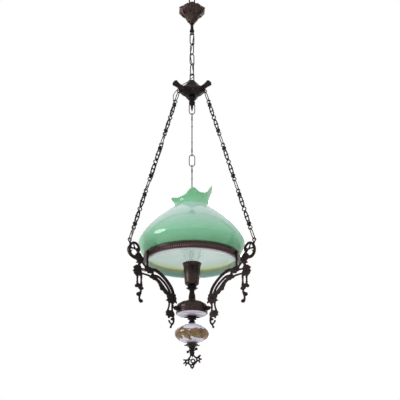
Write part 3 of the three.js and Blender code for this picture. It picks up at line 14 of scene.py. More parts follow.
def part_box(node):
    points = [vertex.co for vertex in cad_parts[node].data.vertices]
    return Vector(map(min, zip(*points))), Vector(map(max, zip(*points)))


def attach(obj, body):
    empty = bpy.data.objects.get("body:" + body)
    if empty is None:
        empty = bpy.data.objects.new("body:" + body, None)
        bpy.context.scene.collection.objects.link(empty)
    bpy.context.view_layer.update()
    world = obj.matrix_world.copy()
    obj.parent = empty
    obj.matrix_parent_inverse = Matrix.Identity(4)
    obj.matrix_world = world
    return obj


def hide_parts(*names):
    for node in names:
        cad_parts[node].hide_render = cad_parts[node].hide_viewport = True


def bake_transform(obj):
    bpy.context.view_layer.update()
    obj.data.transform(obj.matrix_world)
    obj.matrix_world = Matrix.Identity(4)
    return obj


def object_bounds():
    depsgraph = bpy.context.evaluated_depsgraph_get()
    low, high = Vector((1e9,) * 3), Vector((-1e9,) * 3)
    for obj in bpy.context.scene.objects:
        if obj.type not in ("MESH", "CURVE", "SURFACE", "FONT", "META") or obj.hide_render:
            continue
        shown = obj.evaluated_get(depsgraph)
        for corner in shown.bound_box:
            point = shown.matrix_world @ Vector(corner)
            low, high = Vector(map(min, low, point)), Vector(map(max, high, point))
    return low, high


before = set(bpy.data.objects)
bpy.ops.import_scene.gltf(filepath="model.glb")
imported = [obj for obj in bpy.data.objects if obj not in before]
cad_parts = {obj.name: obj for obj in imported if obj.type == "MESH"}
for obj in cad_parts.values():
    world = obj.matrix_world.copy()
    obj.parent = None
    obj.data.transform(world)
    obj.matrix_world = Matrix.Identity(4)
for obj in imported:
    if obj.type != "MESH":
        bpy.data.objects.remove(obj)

bl_info = {
    "name": "Hanging Lamp",
    "version": (1, 0, 0),
    "blender": (4, 5, 0),
    "location": "View3D > Sidebar > Lamp",
    "description": "Makes a chain-hung lamp with a crimped glass shade round its frame",
    "category": "Add Mesh",
}

MM = 0.001
CAD_BOX = [list(corner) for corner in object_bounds()]


# Measures that several pieces share, in millimetres and degrees

def height_of(node, corner):
    """Lowest (0) or highest (1) level of a frame part."""
    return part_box(node)[corner].z / MM


def levels(node):
    """Lowest and highest level of a frame part."""
    return height_of(node, 0), height_of(node, 1)


CANOPY_FOOT = height_of("canopy", 1) - 52
BOSS_TOP = height_of("hanging_loop", 1) - 34.2
HOOK_NUT_FOOT = height_of("stem_eye", 1) - 9
RING_PLANE = height_of("gallery_ring", 1) - 18
CROWN_FOOT = height_of("crown_finial", 0) + 50.3
CROWN_TOP = CROWN_FOOT + 49
EYE_LEVEL = CROWN_FOOT + 3.5
EYE_RADIUS = 45.5
ARM_EYE_RADIUS = 194
ARM_EYE_HEIGHT = 35  # over the ring plane
ARM_BACK = -5.8  # where the lead lies behind the left arm
AZIMUTHS = {"left": 210, "right": -30, "back": 90}
CHAIN_TURN = 38  # plane of the first centre link
CHAIN_LEAN = math.degrees(math.atan2(ARM_EYE_RADIUS - EYE_RADIUS, EYE_LEVEL - (RING_PLANE + ARM_EYE_HEIGHT)))
LINK_WIRE = 3.2  # thickness of the centre chain's wire
LINK_PITCH = (height_of("centre_link_2", 0) - height_of("centre_link_4", 0)) / 2
WIRE_LINK = 34.7  # lengths of a side chain's two kinds of link
CAST_LINK = 120.9
EYE_SEAT = 1.7  # from an eye's centre to the end of the wire link in it
LINK_SEAT = 2.2  # from a wire link's end to the casting's end
CHAIN_PITCH = WIRE_LINK + CAST_LINK + 2 * LINK_SEAT
BALL_RADIUS = 47.5
BULB_RADIUS = 30
FLAT = (0, 1, 0)  # normal of the plane in which castings are drawn


# Colours and the sizes that a user would change

def linear(code):
    """Linear colour from an sRGB hex code."""
    parts = [int(code[i:i + 2], 16) / 255 for i in (1, 3, 5)]
    return tuple(c / 12.92 if c <= 0.04045 else ((c + 0.055) / 1.055) ** 2.4 for c in parts)


def colour(name, text, code):
    """A colour property with an sRGB hex default."""
    return bpy.props.FloatVectorProperty(
        name=name, description=text, subtype="COLOR", size=3, min=0, max=1, default=linear(code))


def measure(name, text, default, low, high):
    """A length property in metres."""
    return bpy.props.FloatProperty(
        name=name, description=text, default=default, min=low, max=high, unit="LENGTH", subtype="DISTANCE")


class LampFinish(bpy.types.PropertyGroup):
    """Colours of the lamp's materials."""

    patina: colour("Patina", "Near-black patina of the castings", "#1e1718")
    patina_rubbed: colour("Rubbed patina", "Castings where hands and polish reach", "#3c2d2a")
    bronze: colour("Bronze", "Bronzed sheet brass", "#342624")
    bronze_rubbed: colour("Rubbed bronze", "Bronzed brass along its edges", "#523e37")
    wire: colour("Wire", "Drawn steel wire of the links", "#5b5450")
    brass: colour("Brass", "Bright sheet brass of the holder", "#c9a25a")
    # the glaze is greyer than bare white porcelain: partly painted shade of the dish and ball
    glaze: colour("Glaze", "White porcelain glaze", "#d0cdd6")
    glaze_shadow: colour("Glaze tint", "Lilac tint where the glaze is thick", "#c9c3d8")
    leaf: colour("Leaf", "Painted leaves", "#5e5a20")
    leaf_dark: colour("Dark leaf", "Painted leaves in shade", "#39391a")
    petal: colour("Petal", "Painted petals", "#6c3418")
    petal_pale: colour("Pale petal", "Petals with thin paint", "#8e6440")
    ochre: colour("Ochre", "Painted ground under the flowers", "#6c4c18")
    # the low glass colour is partly painted shade, and the high one partly a painted reflection of the bright
    # room
    low_glass_and_painted_shade: colour("Shade, low", "Glass next to the ring", "#347844")
    shade_belly: colour("Shade, belly", "Glass at its widest", "#7bb894")
    high_glass_and_painted_reflection: colour("Shade, high", "Glass under the neck", "#b9d6d0")
    shade_neck: colour("Shade, neck", "Crimped neck", "#7cc092")
    casing: colour("Casing", "White casing inside the shade", "#ecfcf5")
    lead: colour("Lead", "Sleeve of the twisted lead", "#2b2320")
    ceramic: colour("Ceramic", "Unglazed holder", "#e0dbd0")
    floor: colour("Floor", "Studio floor", "#efefef")


class LampSizes(bpy.types.PropertyGroup):
    """Sizes and counts that may be varied on the dressed lamp."""

    ring_ribs: bpy.props.IntProperty(
        name="Ring ribs", description="Upright ribs round the gallery ring", default=168, min=24, max=360)
    lead_twist: measure("Lead twist", "Length of one turn of the twisted lead", 0.0085, 0.004, 0.05)
    casting_grain: measure("Casting grain", "Voxel size at which castings are fused", 0.0007, 0.0004, 0.002)
    flute_depth: measure("Flute depth", "Depth of the canopy's flutes", 0.0008, 0, 0.003)
    filaments: bpy.props.IntProperty(
        name="Filaments", description="Upright runs of the filament", default=10, min=4, max=20)


# Nodes

def add(tree, kind, inputs=None, stops=None, **settings):
    """Adds a node with its settings, its ramp stops, and its inputs as values or links."""
    made = tree.nodes.new(kind)
    for name, value in settings.items():
        setattr(made, name, value)
    if stops:
        ramp = made.color_ramp
        while len(ramp.elements) < len(stops):
            ramp.elements.new(1)
        for element, (position, tone) in zip(ramp.elements, stops):
            element.position = position
            element.color = (*tone, 1) if hasattr(tone, "__len__") else (tone, tone, tone, 1)
    for key, value in (inputs or {}).items():
        if isinstance(value, bpy.types.NodeSocket):
            tree.links.new(value, made.inputs[key])
        else:
            made.inputs[key].default_value = value
    return made


def maths(tree, operation, *values):
    """Result of a sum with numbers."""
    return add(tree, "ShaderNodeMath", dict(enumerate(values)), operation=operation).outputs[0]


def vector_maths(tree, operation, inputs):
    """Result of a sum with vectors, which is a number for a length."""
    made = add(tree, "ShaderNodeVectorMath", inputs, operation=operation)
    return made.outputs["Value" if operation == "LENGTH" else "Vector"]


def parts_of(tree, vector):
    """The X, Y and Z of a vector."""
    return add(tree, "ShaderNodeSeparateXYZ", {"Vector": vector}).outputs


def upright(tree, value):
    """A vector along Z."""
    return add(tree, "ShaderNodeCombineXYZ", {"Z": value}).outputs[0]


def rising(tree, value, low, high):
    """0 below low, 1 above high, and even between."""
    return add(tree, "ShaderNodeMapRange", {"Value": value, "From Min": low, "From Max": high}).outputs[0]


def spread(tree, value, low, high):
    """A share between 0 and 1, carried over to low and high."""
    return add(tree, "ShaderNodeMapRange", {"Value": value, "To Min": low, "To Max": high}).outputs[0]


def noise(tree, place, size, detail, **inputs):
    """Noise with patches of about that size in millimetres."""
    return add(tree, "ShaderNodeTexNoise", {
        "Vector": place, "Scale": 1 / (size * MM), "Detail": detail, **inputs}).outputs["Fac"]


def ramp(tree, value, *stops):
    """Colour read from stops of position and colour."""
    return add(tree, "ShaderNodeValToRGB", {"Fac": value}, stops=stops).outputs[0]


def mixed(tree, share, first, second):
    """Colour between two colours."""
    return add(tree, "ShaderNodeMix", {0: share, 6: first, 7: second}, data_type="RGBA").outputs[2]


def edges(tree, low, high):
    """Share of wear on the raised edges of a mesh."""
    return ramp(tree, add(tree, "ShaderNodeNewGeometry").outputs["Pointiness"], (low, 0.0), (high, 1.0))


def relief(tree, height, strength, depth):
    """Normal of a surface with that relief."""
    return add(tree, "ShaderNodeBump", {"Height": height, "Strength": strength, "Distance": depth}).outputs[0]


def blended(first, second, share):
    """Plain colour between two plain colours."""
    return [(1 - share) * a + share * b for a, b in zip(first, second)]


def dimmed(tone, factor):
    """A plain colour made darker or lighter."""
    return [factor * c for c in tone]


# Materials

def blank(name):
    """An empty node material, and its tree."""
    material = bpy.data.materials.new(name)
    material.use_nodes = True
    material.node_tree.nodes.clear()
    return material, material.node_tree


def begun(name):
    """An empty node material, its tree, the lamp's colours, and the object's own coordinates."""
    material, tree = blank(name)
    return material, tree, bpy.context.scene.lamp_finish, add(tree, "ShaderNodeTexCoord").outputs["Object"]


def close(tree, inputs):
    """Puts the surface shader with those inputs, and the output after it."""
    surface = add(tree, "ShaderNodeBsdfPrincipled", inputs)
    add(tree, "ShaderNodeOutputMaterial", {"Surface": surface.outputs[0]})


def patinated_casting():
    """Sand-cast brass under a black patina: satin and grainy, brown where it is rubbed on raised edges."""
    material, tree, tone, place = begun("patinated_cast_brass")
    # sand grain 0.9 mm, drawn coarse enough to show
    sand = noise(tree, place, 0.9, 3.0)
    # cloudy patina, patches about 14 mm
    cloud = noise(tree, place, 14, 5.0)
    rubbed = maths(tree, "MULTIPLY", edges(tree, 0.50, 0.56), cloud)
    patches = ramp(tree, cloud, (0.35, tone.patina), (0.72, blended(tone.patina, tone.patina_rubbed, 0.4)))
    close(tree, {
        "Base Color": mixed(tree, rubbed, patches, (*tone.patina_rubbed, 1)), "Metallic": 0.85,
        "Roughness": spread(tree, sand, 0.38, 0.56), "Normal": relief(tree, sand, 0.25, 0.3 * MM)})
    return material


def bronzed_sheet():
    """Spun and pressed sheet brass, chemically bronzed red-brown and lacquered: smooth, with worn edges."""
    material, tree, tone, place = begun("bronzed_sheet_brass")
    # the bronzing bath mottles the sheet in patches about 9 mm
    mottle = noise(tree, place, 9, 6.0, Roughness=0.6)
    # fine pores, 0.7 mm
    pores = noise(tree, place, 0.7, 2.0)
    skin = ramp(tree, mottle, (0.32, dimmed(tone.bronze, 0.6)), (0.5, tone.bronze),
                (0.75, blended(tone.bronze, tone.bronze_rubbed, 0.38)))
    close(tree, {
        "Base Color": mixed(tree, edges(tree, 0.505, 0.56), skin, (*tone.bronze_rubbed, 1)), "Metallic": 0.9,
        "Roughness": spread(tree, mottle, 0.26, 0.46), "Normal": relief(tree, pores, 0.12, 0.2 * MM),
        "Coat Weight": 0.25, "Coat Roughness": 0.2})
    return material


def drawn_wire():
    """Drawn steel wire, dulled by age: grey with brown spots and fine marks."""
    material, tree, tone, place = begun("drawn_steel_wire")
    spots = noise(tree, place, 5, 5.0)
    close(tree, {
        "Base Color": ramp(tree, spots, (0.38, dimmed(tone.wire, 0.35)), (0.6, tone.wire)), "Metallic": 0.9,
        "Roughness": spread(tree, spots, 0.3, 0.5), "Normal": relief(tree, spots, 0.1, 0.2 * MM)})
    return material


def sheet_brass():
    """Plain rolled brass of lamp fittings: yellow, bright, with fingermarks."""
    material, tree, tone, place = begun("rolled_sheet_brass")
    marks = noise(tree, place, 6, 4.0)
    close(tree, {
        "Base Color": ramp(tree, marks, (0.3, dimmed(tone.brass, 0.6)), (0.6, tone.brass)), "Metallic": 1.0,
        "Roughness": spread(tree, marks, 0.18, 0.4)})
    return material


def glazed_porcelain():
    """White porcelain under a clear glaze: hard gloss, cool white with a lilac cast where glaze pools."""
    material, tree, tone, place = begun("glazed_white_porcelain")
    pool = noise(tree, place, 16, 3.0)
    close(tree, {
        "Base Color": ramp(tree, pool, (0.35, tone.glaze_shadow), (0.55, tone.glaze)),
        "Roughness": 0.12, "IOR": 1.52, "Coat Weight": 0.4, "Coat Roughness": 0.05})
    return material


def painted_porcelain():
    """Overglaze painting on white porcelain: loose flowers and leaves round the belly, thin at the poles."""
    material, tree = blank("painted_porcelain")
    tone = bpy.context.scene.lamp_finish
    flat = add(tree, "ShaderNodeUVMap", uv_map="round").outputs["UV"]
    up = parts_of(tree, flat)["Y"]

    def blotches(place, scale, detail):
        """Noise on the flat drawing, whose unit is a millimetre."""
        return add(tree, "ShaderNodeTexNoise", {"Vector": place, "Scale": scale, "Detail": detail},
                   noise_dimensions="2D").outputs

    # brush strokes bend every edge by about 2 mm
    brush = blotches(flat, 0.22, 4.0)
    shift = vector_maths(tree, "SUBTRACT", {0: brush["Color"], 1: (0.5, 0.5, 0.5)})
    bend = vector_maths(tree, "SCALE", {0: shift, "Scale": 7.0})
    drawn = vector_maths(tree, "ADD", {0: flat, 1: bend})
    ground = ramp(tree, blotches(flat, 0.045, 3.0)["Fac"], (0.36, tone.glaze_shadow), (0.52, tone.glaze))
    # how much is painted: the whole belly, broken by bare ground
    level = maths(tree, "POWER", maths(tree, "MULTIPLY_ADD", up, 1 / 29, 0.4), 2.0)
    room = maths(tree, "SUBTRACT", blotches(flat, 0.03, 1.0)["Fac"], level)
    # loose olive, ochre and rust washes under the flowers, in patches about 22 mm
    bed = maths(tree, "MULTIPLY_ADD", level, -0.42, blotches(drawn, 0.045, 2.0)["Fac"])
    wash = ramp(tree, blotches(drawn, 0.19, 3.0)["Fac"], (0.36, tone.leaf_dark), (0.44, tone.leaf),
                (0.5, tone.ochre), (0.56, tone.petal), (0.68, tone.petal_pale))
    skin = mixed(tree, rising(tree, bed, 0.33, 0.38), ground, wash)
    layers = [
        # size mm, petals, lobe depth, reach mm, cover above, stops
        (26.0, 2, 0.75, 12.5, 0.16, [(0.3, tone.leaf_dark), (0.6, tone.leaf), (0.9, tone.ochre)]),
        (17.0, 2, 0.8, 8.0, 0.12, [(0.2, tone.leaf), (0.7, tone.leaf_dark)]),
        (31.0, 5, 0.3, 9.5, 0.22, [(0.2, tone.petal), (0.55, tone.petal_pale), (0.9, tone.ochre)]),
        (19.0, 5, 0.35, 4.6, 0.1, [(0.3, tone.petal_pale), (0.8, tone.petal)]),
    ]
    for number, (size, petals, depth, reach, cover, stops) in enumerate(layers):
        moved = vector_maths(tree, "ADD", {0: drawn, 1: (37.0 * number, 19.0 * number, 0)})
        cells = add(tree, "ShaderNodeTexVoronoi", {"Vector": moved, "Scale": 1 / size, "Randomness": 0.75},
                    voronoi_dimensions="2D").outputs
        away = vector_maths(tree, "SUBTRACT", {0: moved, 1: cells["Position"]})
        side = parts_of(tree, away)
        chance = add(tree, "ShaderNodeSeparateColor", {"Color": cells["Color"]}).outputs
        turn = maths(tree, "ARCTAN2", side["Y"], side["X"])
        spin = maths(tree, "MULTIPLY_ADD", chance[0], 6.28, turn)
        lobe = maths(tree, "COSINE", maths(tree, "MULTIPLY", spin, float(petals)))
        edge = maths(tree, "MULTIPLY_ADD", lobe, depth * reach / 2, (1 - depth / 2) * reach)
        inside = maths(tree, "SUBTRACT", edge, vector_maths(tree, "LENGTH", {0: away}))
        allowed = rising(tree, room, cover, cover + 0.06)
        mask = maths(tree, "MULTIPLY", rising(tree, inside, 0.0, 0.9), allowed)
        tint = maths(tree, "ADD", brush["Fac"], chance[1])
        paint = ramp(tree, maths(tree, "MULTIPLY", tint, 0.5), *stops)
        skin = mixed(tree, mask, skin, paint)
    close(tree, {
        "Base Color": skin, "Roughness": 0.14, "IOR": 1.52, "Coat Weight": 0.4, "Coat Roughness": 0.05})
    return material


def up_the_shade(tree, place):
    """Share of the way up the shade, from the foot of its glass to the tips of its rim."""
    low, rise = (RING_PLANE - 10) * MM, 0.236
    return rising(tree, parts_of(tree, place)["Z"], low, low + rise)


def green_opal_glass():
    """Blown opal glass, green face over white, wet gloss: deep green by the ring and milky under the neck,
    partly its own colour, partly painted shade low down and a painted reflection high up.
    """
    material, tree, tone, place = begun("green_opal_glass")
    # melted glass streaks, about 40 mm long and level
    flat = add(tree, "ShaderNodeMapping", {"Vector": place, "Scale": (1, 1, 3)})
    streak = noise(tree, flat.outputs[0], 40, 3.0)
    # the colour up the glass lies over its own green: painted shade on the low bowl and a painted reflection
    # of the bright room on the pale shoulder
    skin = ramp(tree, maths(tree, "MULTIPLY_ADD", streak, 0.08, up_the_shade(tree, place)),
                (0.06, tone.low_glass_and_painted_shade), (0.30, tone.shade_belly),
                (0.52, blended(tone.shade_belly, tone.high_glass_and_painted_reflection, 0.6)), (0.68, tone.high_glass_and_painted_reflection),
                (0.765, tone.high_glass_and_painted_reflection), (0.785, tone.shade_neck), (1.0, dimmed(tone.shade_neck, 0.75)))
    close(tree, {
        "Base Color": skin, "Roughness": 0.07, "IOR": 1.5, "Subsurface Weight": 0.3,
        "Subsurface Scale": 6 * MM, "Subsurface Radius": (0.7, 1.0, 0.85), "Coat Weight": 0.3,
        "Coat Roughness": 0.03})
    return material


def white_casing():
    """White casing inside blown opal glass: milky, faintly green from behind, bluish grey at the foot and a
    gold band just above it.
    """
    material, tree, tone, place = begun("white_opal_casing")
    # up the casing: bluish grey at the foot, a gold band, white, then green again in the neck
    skin = ramp(tree, up_the_shade(tree, place), (0.0, linear("#8fb8b4")), (0.07, linear("#9fc2b8")),
                (0.115, linear("#c9c78c")), (0.16, linear("#e4e9bf")), (0.23, tone.casing),
                (0.74, tone.casing), (0.8, linear("#a9d9bb")), (1.0, tone.shade_neck))
    close(tree, {
        "Base Color": skin, "Roughness": 0.16, "IOR": 1.5, "Subsurface Weight": 0.9,
        "Subsurface Scale": 12 * MM, "Subsurface Radius": (0.8, 1.0, 0.95)})
    return material


def clear_glass():
    """Thin blown soda glass of a bulb: clear, with a faint cool edge."""
    material, tree = blank("clear_blown_glass")
    close(tree, {
        "Base Color": (0.95, 0.99, 0.98, 1), "Roughness": 0.02, "IOR": 1.45, "Transmission Weight": 1.0})
    return material


def unglazed_ceramic():
    """Unglazed steatite of a lamp holder: chalky off-white."""
    material, tree, tone, place = begun("unglazed_steatite")
    chalk = noise(tree, place, 1.2, 3.0)
    skin = ramp(tree, chalk, (0.3, dimmed(tone.ceramic, 0.85)), (0.6, tone.ceramic))
    close(tree, {"Base Color": skin, "Roughness": 0.6})
    return material


def twisted_sleeve():
    """Dark brown sleeve of a two-core flex: matt, with a braid about 0.8 mm fine."""
    material, tree, tone, place = begun("braided_sleeve")
    braid = add(tree, "ShaderNodeTexVoronoi", {"Vector": place, "Scale": 1 / (0.8 * MM)}).outputs["Distance"]
    close(tree, {
        "Base Color": ramp(tree, braid, (0.1, dimmed(tone.lead, 1.5)), (0.8, dimmed(tone.lead, 0.5))),
        "Roughness": 0.7, "Normal": relief(tree, braid, 0.4, -0.2 * MM)})
    return material


LOOKS = {
    "casting": patinated_casting, "bronze": bronzed_sheet, "wire": drawn_wire, "brass": sheet_brass,
    "porcelain": glazed_porcelain, "painted": painted_porcelain, "green_glass": green_opal_glass,
    "casing": white_casing, "clear": clear_glass, "ceramic": unglazed_ceramic, "sleeve": twisted_sleeve,
}
made_looks = {}


def look(name):
    """The material of that finish, made once."""
    if name not in made_looks:
        made_looks[name] = LOOKS[name]()
    return made_looks[name]


# Shapes: points in millimetres and faces, gathered before they become one mesh

class Shape:
    """Points and faces of one or several closed forms; marks number each face's material where it matters."""

    def __init__(self):
        self.points = []
        self.faces = []
        self.marks = []

    def add(self, points, faces):
        """Adds points and the faces between them."""
        start = len(self.points)
        self.points.extend(tuple(float(c) for c in p) for p in points)
        self.faces.extend(tuple(start + i for i in face) for face in faces)
        return self

    def join(self, other, turn=0, lift=0):
        """Adds another shape, turned about Z in degrees and lifted."""
        matrix = shift(0, 0, lift) @ turning(turn)
        return self.add([matrix @ Vector(p) for p in other.points], other.faces)

    def moved(self, matrix):
        """Moves the whole shape."""
        self.points = [tuple(matrix @ Vector(p)) for p in self.points]
        return self


def shift(x, y, z):
    """Matrix of a move."""
    return Matrix.Translation((x, y, z))


def turning(degrees, axis="Z"):
    """Matrix of a turn."""
    return Matrix.Rotation(math.radians(degrees), 4, axis)


def above(level, *points, unit=1):
    """Points of a profile, whose second numbers count from a level up, or down where they are negative."""
    return [(first, level + height * unit) for first, height in points]


def polar(radius, azimuth, height):
    """Point at a distance and a direction from the axis."""
    turn = math.radians(azimuth)
    return (radius * math.cos(turn), radius * math.sin(turn), height)


def smooth(low, high, value):
    """Even step from 0 at low to 1 at high."""
    t = np.clip((np.asarray(value, float) - low) / (high - low), 0, 1)
    return t * t * (3 - 2 * t)


def grid_faces(rows, columns, close_rows=False, close_columns=False):
    """Quads over a grid of points, row by row."""
    faces = []
    for i in range(rows if close_rows else rows - 1):
        for j in range(columns if close_columns else columns - 1):
            a, b = i * columns + j, i * columns + (j + 1) % columns
            c, d = ((i + 1) % rows) * columns + (j + 1) % columns, ((i + 1) % rows) * columns + j
            faces.append((a, b, c, d))
    return faces


def through(points, spacing, closed=False):
    """Smooth line through the points, with a step about every spacing."""
    p = np.asarray(points, float)
    ends = (p[-1:], p[:2]) if closed else (2 * p[:1] - p[1:2], 2 * p[-1:] - p[-2:-1])
    p = np.vstack([ends[0], p, ends[1]])
    line = []
    for i in range(len(p) - 3):
        a, b, c, d = p[i:i + 4]
        t = np.maximum(np.sqrt(np.linalg.norm(np.diff(p[i:i + 4], axis=0), axis=1)), 1e-6)
        first = (c - b) + t[1] * ((b - a) / t[0] - (c - a) / (t[0] + t[1]))
        last = (c - b) + t[1] * ((d - c) / t[2] - (d - b) / (t[1] + t[2]))
        count = max(1, math.ceil(np.linalg.norm(c - b) / spacing))
        u = (np.arange(count) / count)[:, None]
        line.extend((2 * u ** 3 - 3 * u ** 2 + 1) * b + (u ** 3 - 2 * u ** 2 + u) * first
                    + (3 * u ** 2 - 2 * u ** 3) * c + (u ** 3 - u ** 2) * last)
    if not closed:
        line.append(p[-2])
    return np.array(line)


def in_plane(points, spacing=1.5):
    """Smooth line in the XZ plane through (x, z) points."""
    return through([(x, 0, z) for x, z in points], spacing)


def taper(line, *stops):
    """Widths along a line, evenly between the stops."""
    return np.interp(np.linspace(0, 1, len(line)), np.linspace(0, 1, len(stops)), stops)


def frames(line, closed=False, plane=None):
    """Directions along, across and up at each point; up keeps to plane's normal, or hardly turns."""
    along = np.roll(line, -1, 0) - np.roll(line, 1, 0) if closed else np.gradient(line, axis=0)
    along /= np.linalg.norm(along, axis=1)[:, None]
    if plane is not None:
        ups = np.tile(np.asarray(plane, float), (len(line), 1))
        across = np.cross(along, ups)
        across /= np.linalg.norm(across, axis=1)[:, None]
        return along, across, ups
    up = np.cross(along[0], (0.3, 0.9, 0.1))
    up /= np.linalg.norm(up)
    ups = []
    for direction in along:
        up = up - direction * up.dot(direction)
        up /= np.linalg.norm(up)
        ups.append(up)
    ups = np.array(ups)
    return along, np.cross(along, ups), ups


def swept(line, width, depth=None, sides=10, closed=False, plane=None, square=1.0):
    """Bar along a line with an oval section; widths may go point by point; square below 1 fills corners."""
    line = np.asarray(line, float)
    n = len(line)
    width = np.broadcast_to(np.asarray(width, float) / 2, n)
    depth = width if depth is None else np.broadcast_to(np.asarray(depth, float) / 2, n)
    along, across, up = frames(line, closed, plane)
    angle = 2 * np.pi * (np.arange(sides) + 0.5) / sides
    cosine = np.sign(np.cos(angle)) * np.abs(np.cos(angle)) ** square
    sine = np.sign(np.sin(angle)) * np.abs(np.sin(angle)) ** square
    rings = (line[:, None] + across[:, None] * (width[:, None] * cosine)[..., None]
             + up[:, None] * (depth[:, None] * sine)[..., None])
    faces = grid_faces(n, sides, closed, True)
    if not closed:
        faces += [tuple(range(sides))[::-1], tuple(range((n - 1) * sides, n * sides))]
    return Shape().add(rings.reshape(-1, 3), [face[::-1] for face in faces])


def revolved(profile, segments, swell=None):
    """Points of a [radius, height] profile carried round Z; swell gives a new radius and height to each."""
    profile = np.asarray(profile, float)
    angle = 2 * np.pi * np.arange(segments) / segments
    x, y = profile[:, :1] * np.cos(angle), profile[:, :1] * np.sin(angle)
    z = np.broadcast_to(profile[:, 1:2], x.shape)
    if swell is not None:
        angle = np.arctan2(y, x)
        radius, z = swell(np.hypot(x, y), angle, z)
        x, y = radius * np.cos(angle), radius * np.sin(angle)
    return np.stack([x, y, z], -1).reshape(-1, 3)


def turned(profile, segments=96, swell=None):
    """Form turned about Z from a profile that is closed on the axis or on itself."""
    on_axis = profile[0][0] == 0 and profile[-1][0] == 0
    faces = grid_faces(len(profile), segments, not on_axis, True)
    return Shape().add(revolved(profile, segments, swell), faces)


def spun(profile, spacing, segments):
    """Form turned about Z from a profile drawn as a smooth line."""
    return turned(through(profile, spacing), segments)


def plate(outline, thickness):
    """Flat plate with the given outline in (x, z), centred on its thickness."""
    n = len(outline)
    points = [(x, y, z) for y in (-thickness / 2, thickness / 2) for x, z in outline]
    pairs = zip(outline, outline[1:] + outline[:1])
    area = sum(x * next_z - next_x * z for (x, z), (next_x, next_z) in pairs)
    faces = [tuple(range(n)), tuple(range(n, 2 * n))[::-1]]
    faces += [(i, i + n, (i + 1) % n + n, (i + 1) % n) for i in range(n)]
    return Shape().add(points, faces if area > 0 else [face[::-1] for face in faces])


def ball(x, y, z, radius, squash=1.0, sides=16):
    """Small ball, flattened along Z by squash."""
    angle = np.linspace(-np.pi / 2, np.pi / 2, sides // 2 + 1)
    profile = [(0 if abs(a) > 1.57 else radius * math.cos(a), radius * squash * math.sin(a)) for a in angle]
    return turned(profile, sides).moved(shift(x, y, z))


def ring(x, z, radius, width, depth):
    """Ring standing in the XZ plane."""
    angle = 2 * np.pi * np.arange(28) / 28
    line = np.stack([x + radius * np.cos(angle), 0 * angle, z + radius * np.sin(angle)], -1)
    return swept(line, width, depth, 10, True, FLAT, 0.8)


def hoop(half, heights, bend, steps):
    """Line of a hoop in the XZ plane: a leg to the last height, a bow from pi to bend, and the leg back."""
    leg = [(-half, 0, z) for z in heights]
    angles = np.linspace(math.pi, bend, steps)[1:-1]
    bow = [(half * math.cos(a), 0, heights[-1] + half * math.sin(a)) for a in angles]
    return leg + bow + [(-x, 0, z) for x, _, z in leg][::-1]


def stadium(length, half_width, bends=16):
    """Line of an oval link in the XZ plane, centred, from end to end of its length."""
    reach = length / 2 - half_width
    line = []
    for turn, lift in ((0, reach), (math.pi, -reach)):
        line += [(half_width * math.cos(turn + a), 0, lift + half_width * math.sin(turn + a))
                 for a in np.linspace(0, math.pi, bends)]
        side = half_width * math.cos(turn + math.pi)
        line += [(side, 0, z) for z in np.linspace(lift, -lift, 8)[1:-1]]
    return line


def leaf_blade(length, width, thickness, lobes=3, curl=0.0, rise=0.0):
    """A lobed, ribbed leaf that grows along +X from its root, curls up or down, and is closed."""
    rows, columns = 8 * lobes + 1, 9
    t = np.linspace(0, 1, rows)
    envelope = np.sin(np.pi * (0.12 + 0.88 * t) ** 0.8) ** 0.7
    notch = 1 - 0.28 * np.abs(np.cos(np.pi * lobes * t)) ** 3 * smooth(0.05, 0.2, t)
    half = width / 2 * np.maximum(envelope * notch, 0.04)
    side = np.linspace(-1, 1, columns)
    x = length * t[:, None] + 0.10 * length / lobes * np.abs(side) * np.sin(np.pi * t)[:, None]
    y = half[:, None] * side
    z = rise * t[:, None] + curl * (t[:, None] ** 2) - 0.25 * half[:, None] * side ** 2
    vein = thickness * (0.35 * np.exp(-(side / 0.16) ** 2)
                        + 0.12 * np.cos(2 * np.pi * (lobes * t[:, None] - 1.2 * np.abs(side))))
    top = np.stack([x, y, z + thickness / 2 + vein], -1).reshape(-1, 3)
    low = np.stack([x, y, z - thickness / 2], -1).reshape(-1, 3)
    n = rows * columns
    faces = grid_faces(rows, columns)
    rim = list(range(columns)) + [columns * (r + 1) - 1 for r in range(1, rows)]
    rim += [n - 1 - i for i in range(1, columns)] + [columns * r for r in range(rows - 2, 0, -1)]
    walls = [(i, j, j + n, i + n) for i, j in zip(rim, rim[1:] + rim[:1])]
    under = [tuple(i + n for i in face) for face in faces]
    return Shape().add(np.vstack([top, low]), [face[::-1] for face in faces] + under + walls)


def leaf_at(x, z, tilt, *measures, **bend):
    """A leaf with its root at (x, z), its tip dipped by tilt degrees."""
    return leaf_blade(*measures, **bend).moved(shift(x, 0, z) @ turning(tilt, "Y"))


# From shapes to finished pieces

def mesh_from(name, shape):
    """A mesh in metres, with doubled points merged and faces turned outwards."""
    mesh = bpy.data.meshes.new(name)
    mesh.from_pydata([tuple(c * MM for c in p) for p in shape.points], [], shape.faces)
    if shape.marks:
        mesh.polygons.foreach_set("material_index", shape.marks)
    work = bmesh.new()
    work.from_mesh(mesh)
    bmesh.ops.remove_doubles(work, verts=work.verts, dist=2e-7)
    bmesh.ops.recalc_face_normals(work, faces=work.faces)
    work.to_mesh(mesh)
    work.free()
    return mesh


def link(name, data):
    """A new object of the scene."""
    made = bpy.data.objects.new(name, data)
    bpy.context.scene.collection.objects.link(made)
    return made


def node_group(name, sockets):
    """A Geometry Nodes tree with one geometry output, and its inputs' sockets."""
    tree = bpy.data.node_groups.new(name, "GeometryNodeTree")
    tree.is_modifier = True
    for label, kind in sockets.items():
        tree.interface.new_socket(label, in_out="INPUT", socket_type=f"NodeSocket{kind}")
    tree.interface.new_socket("Geometry", in_out="OUTPUT", socket_type="NodeSocketGeometry")
    return tree, add(tree, "NodeGroupInput").outputs


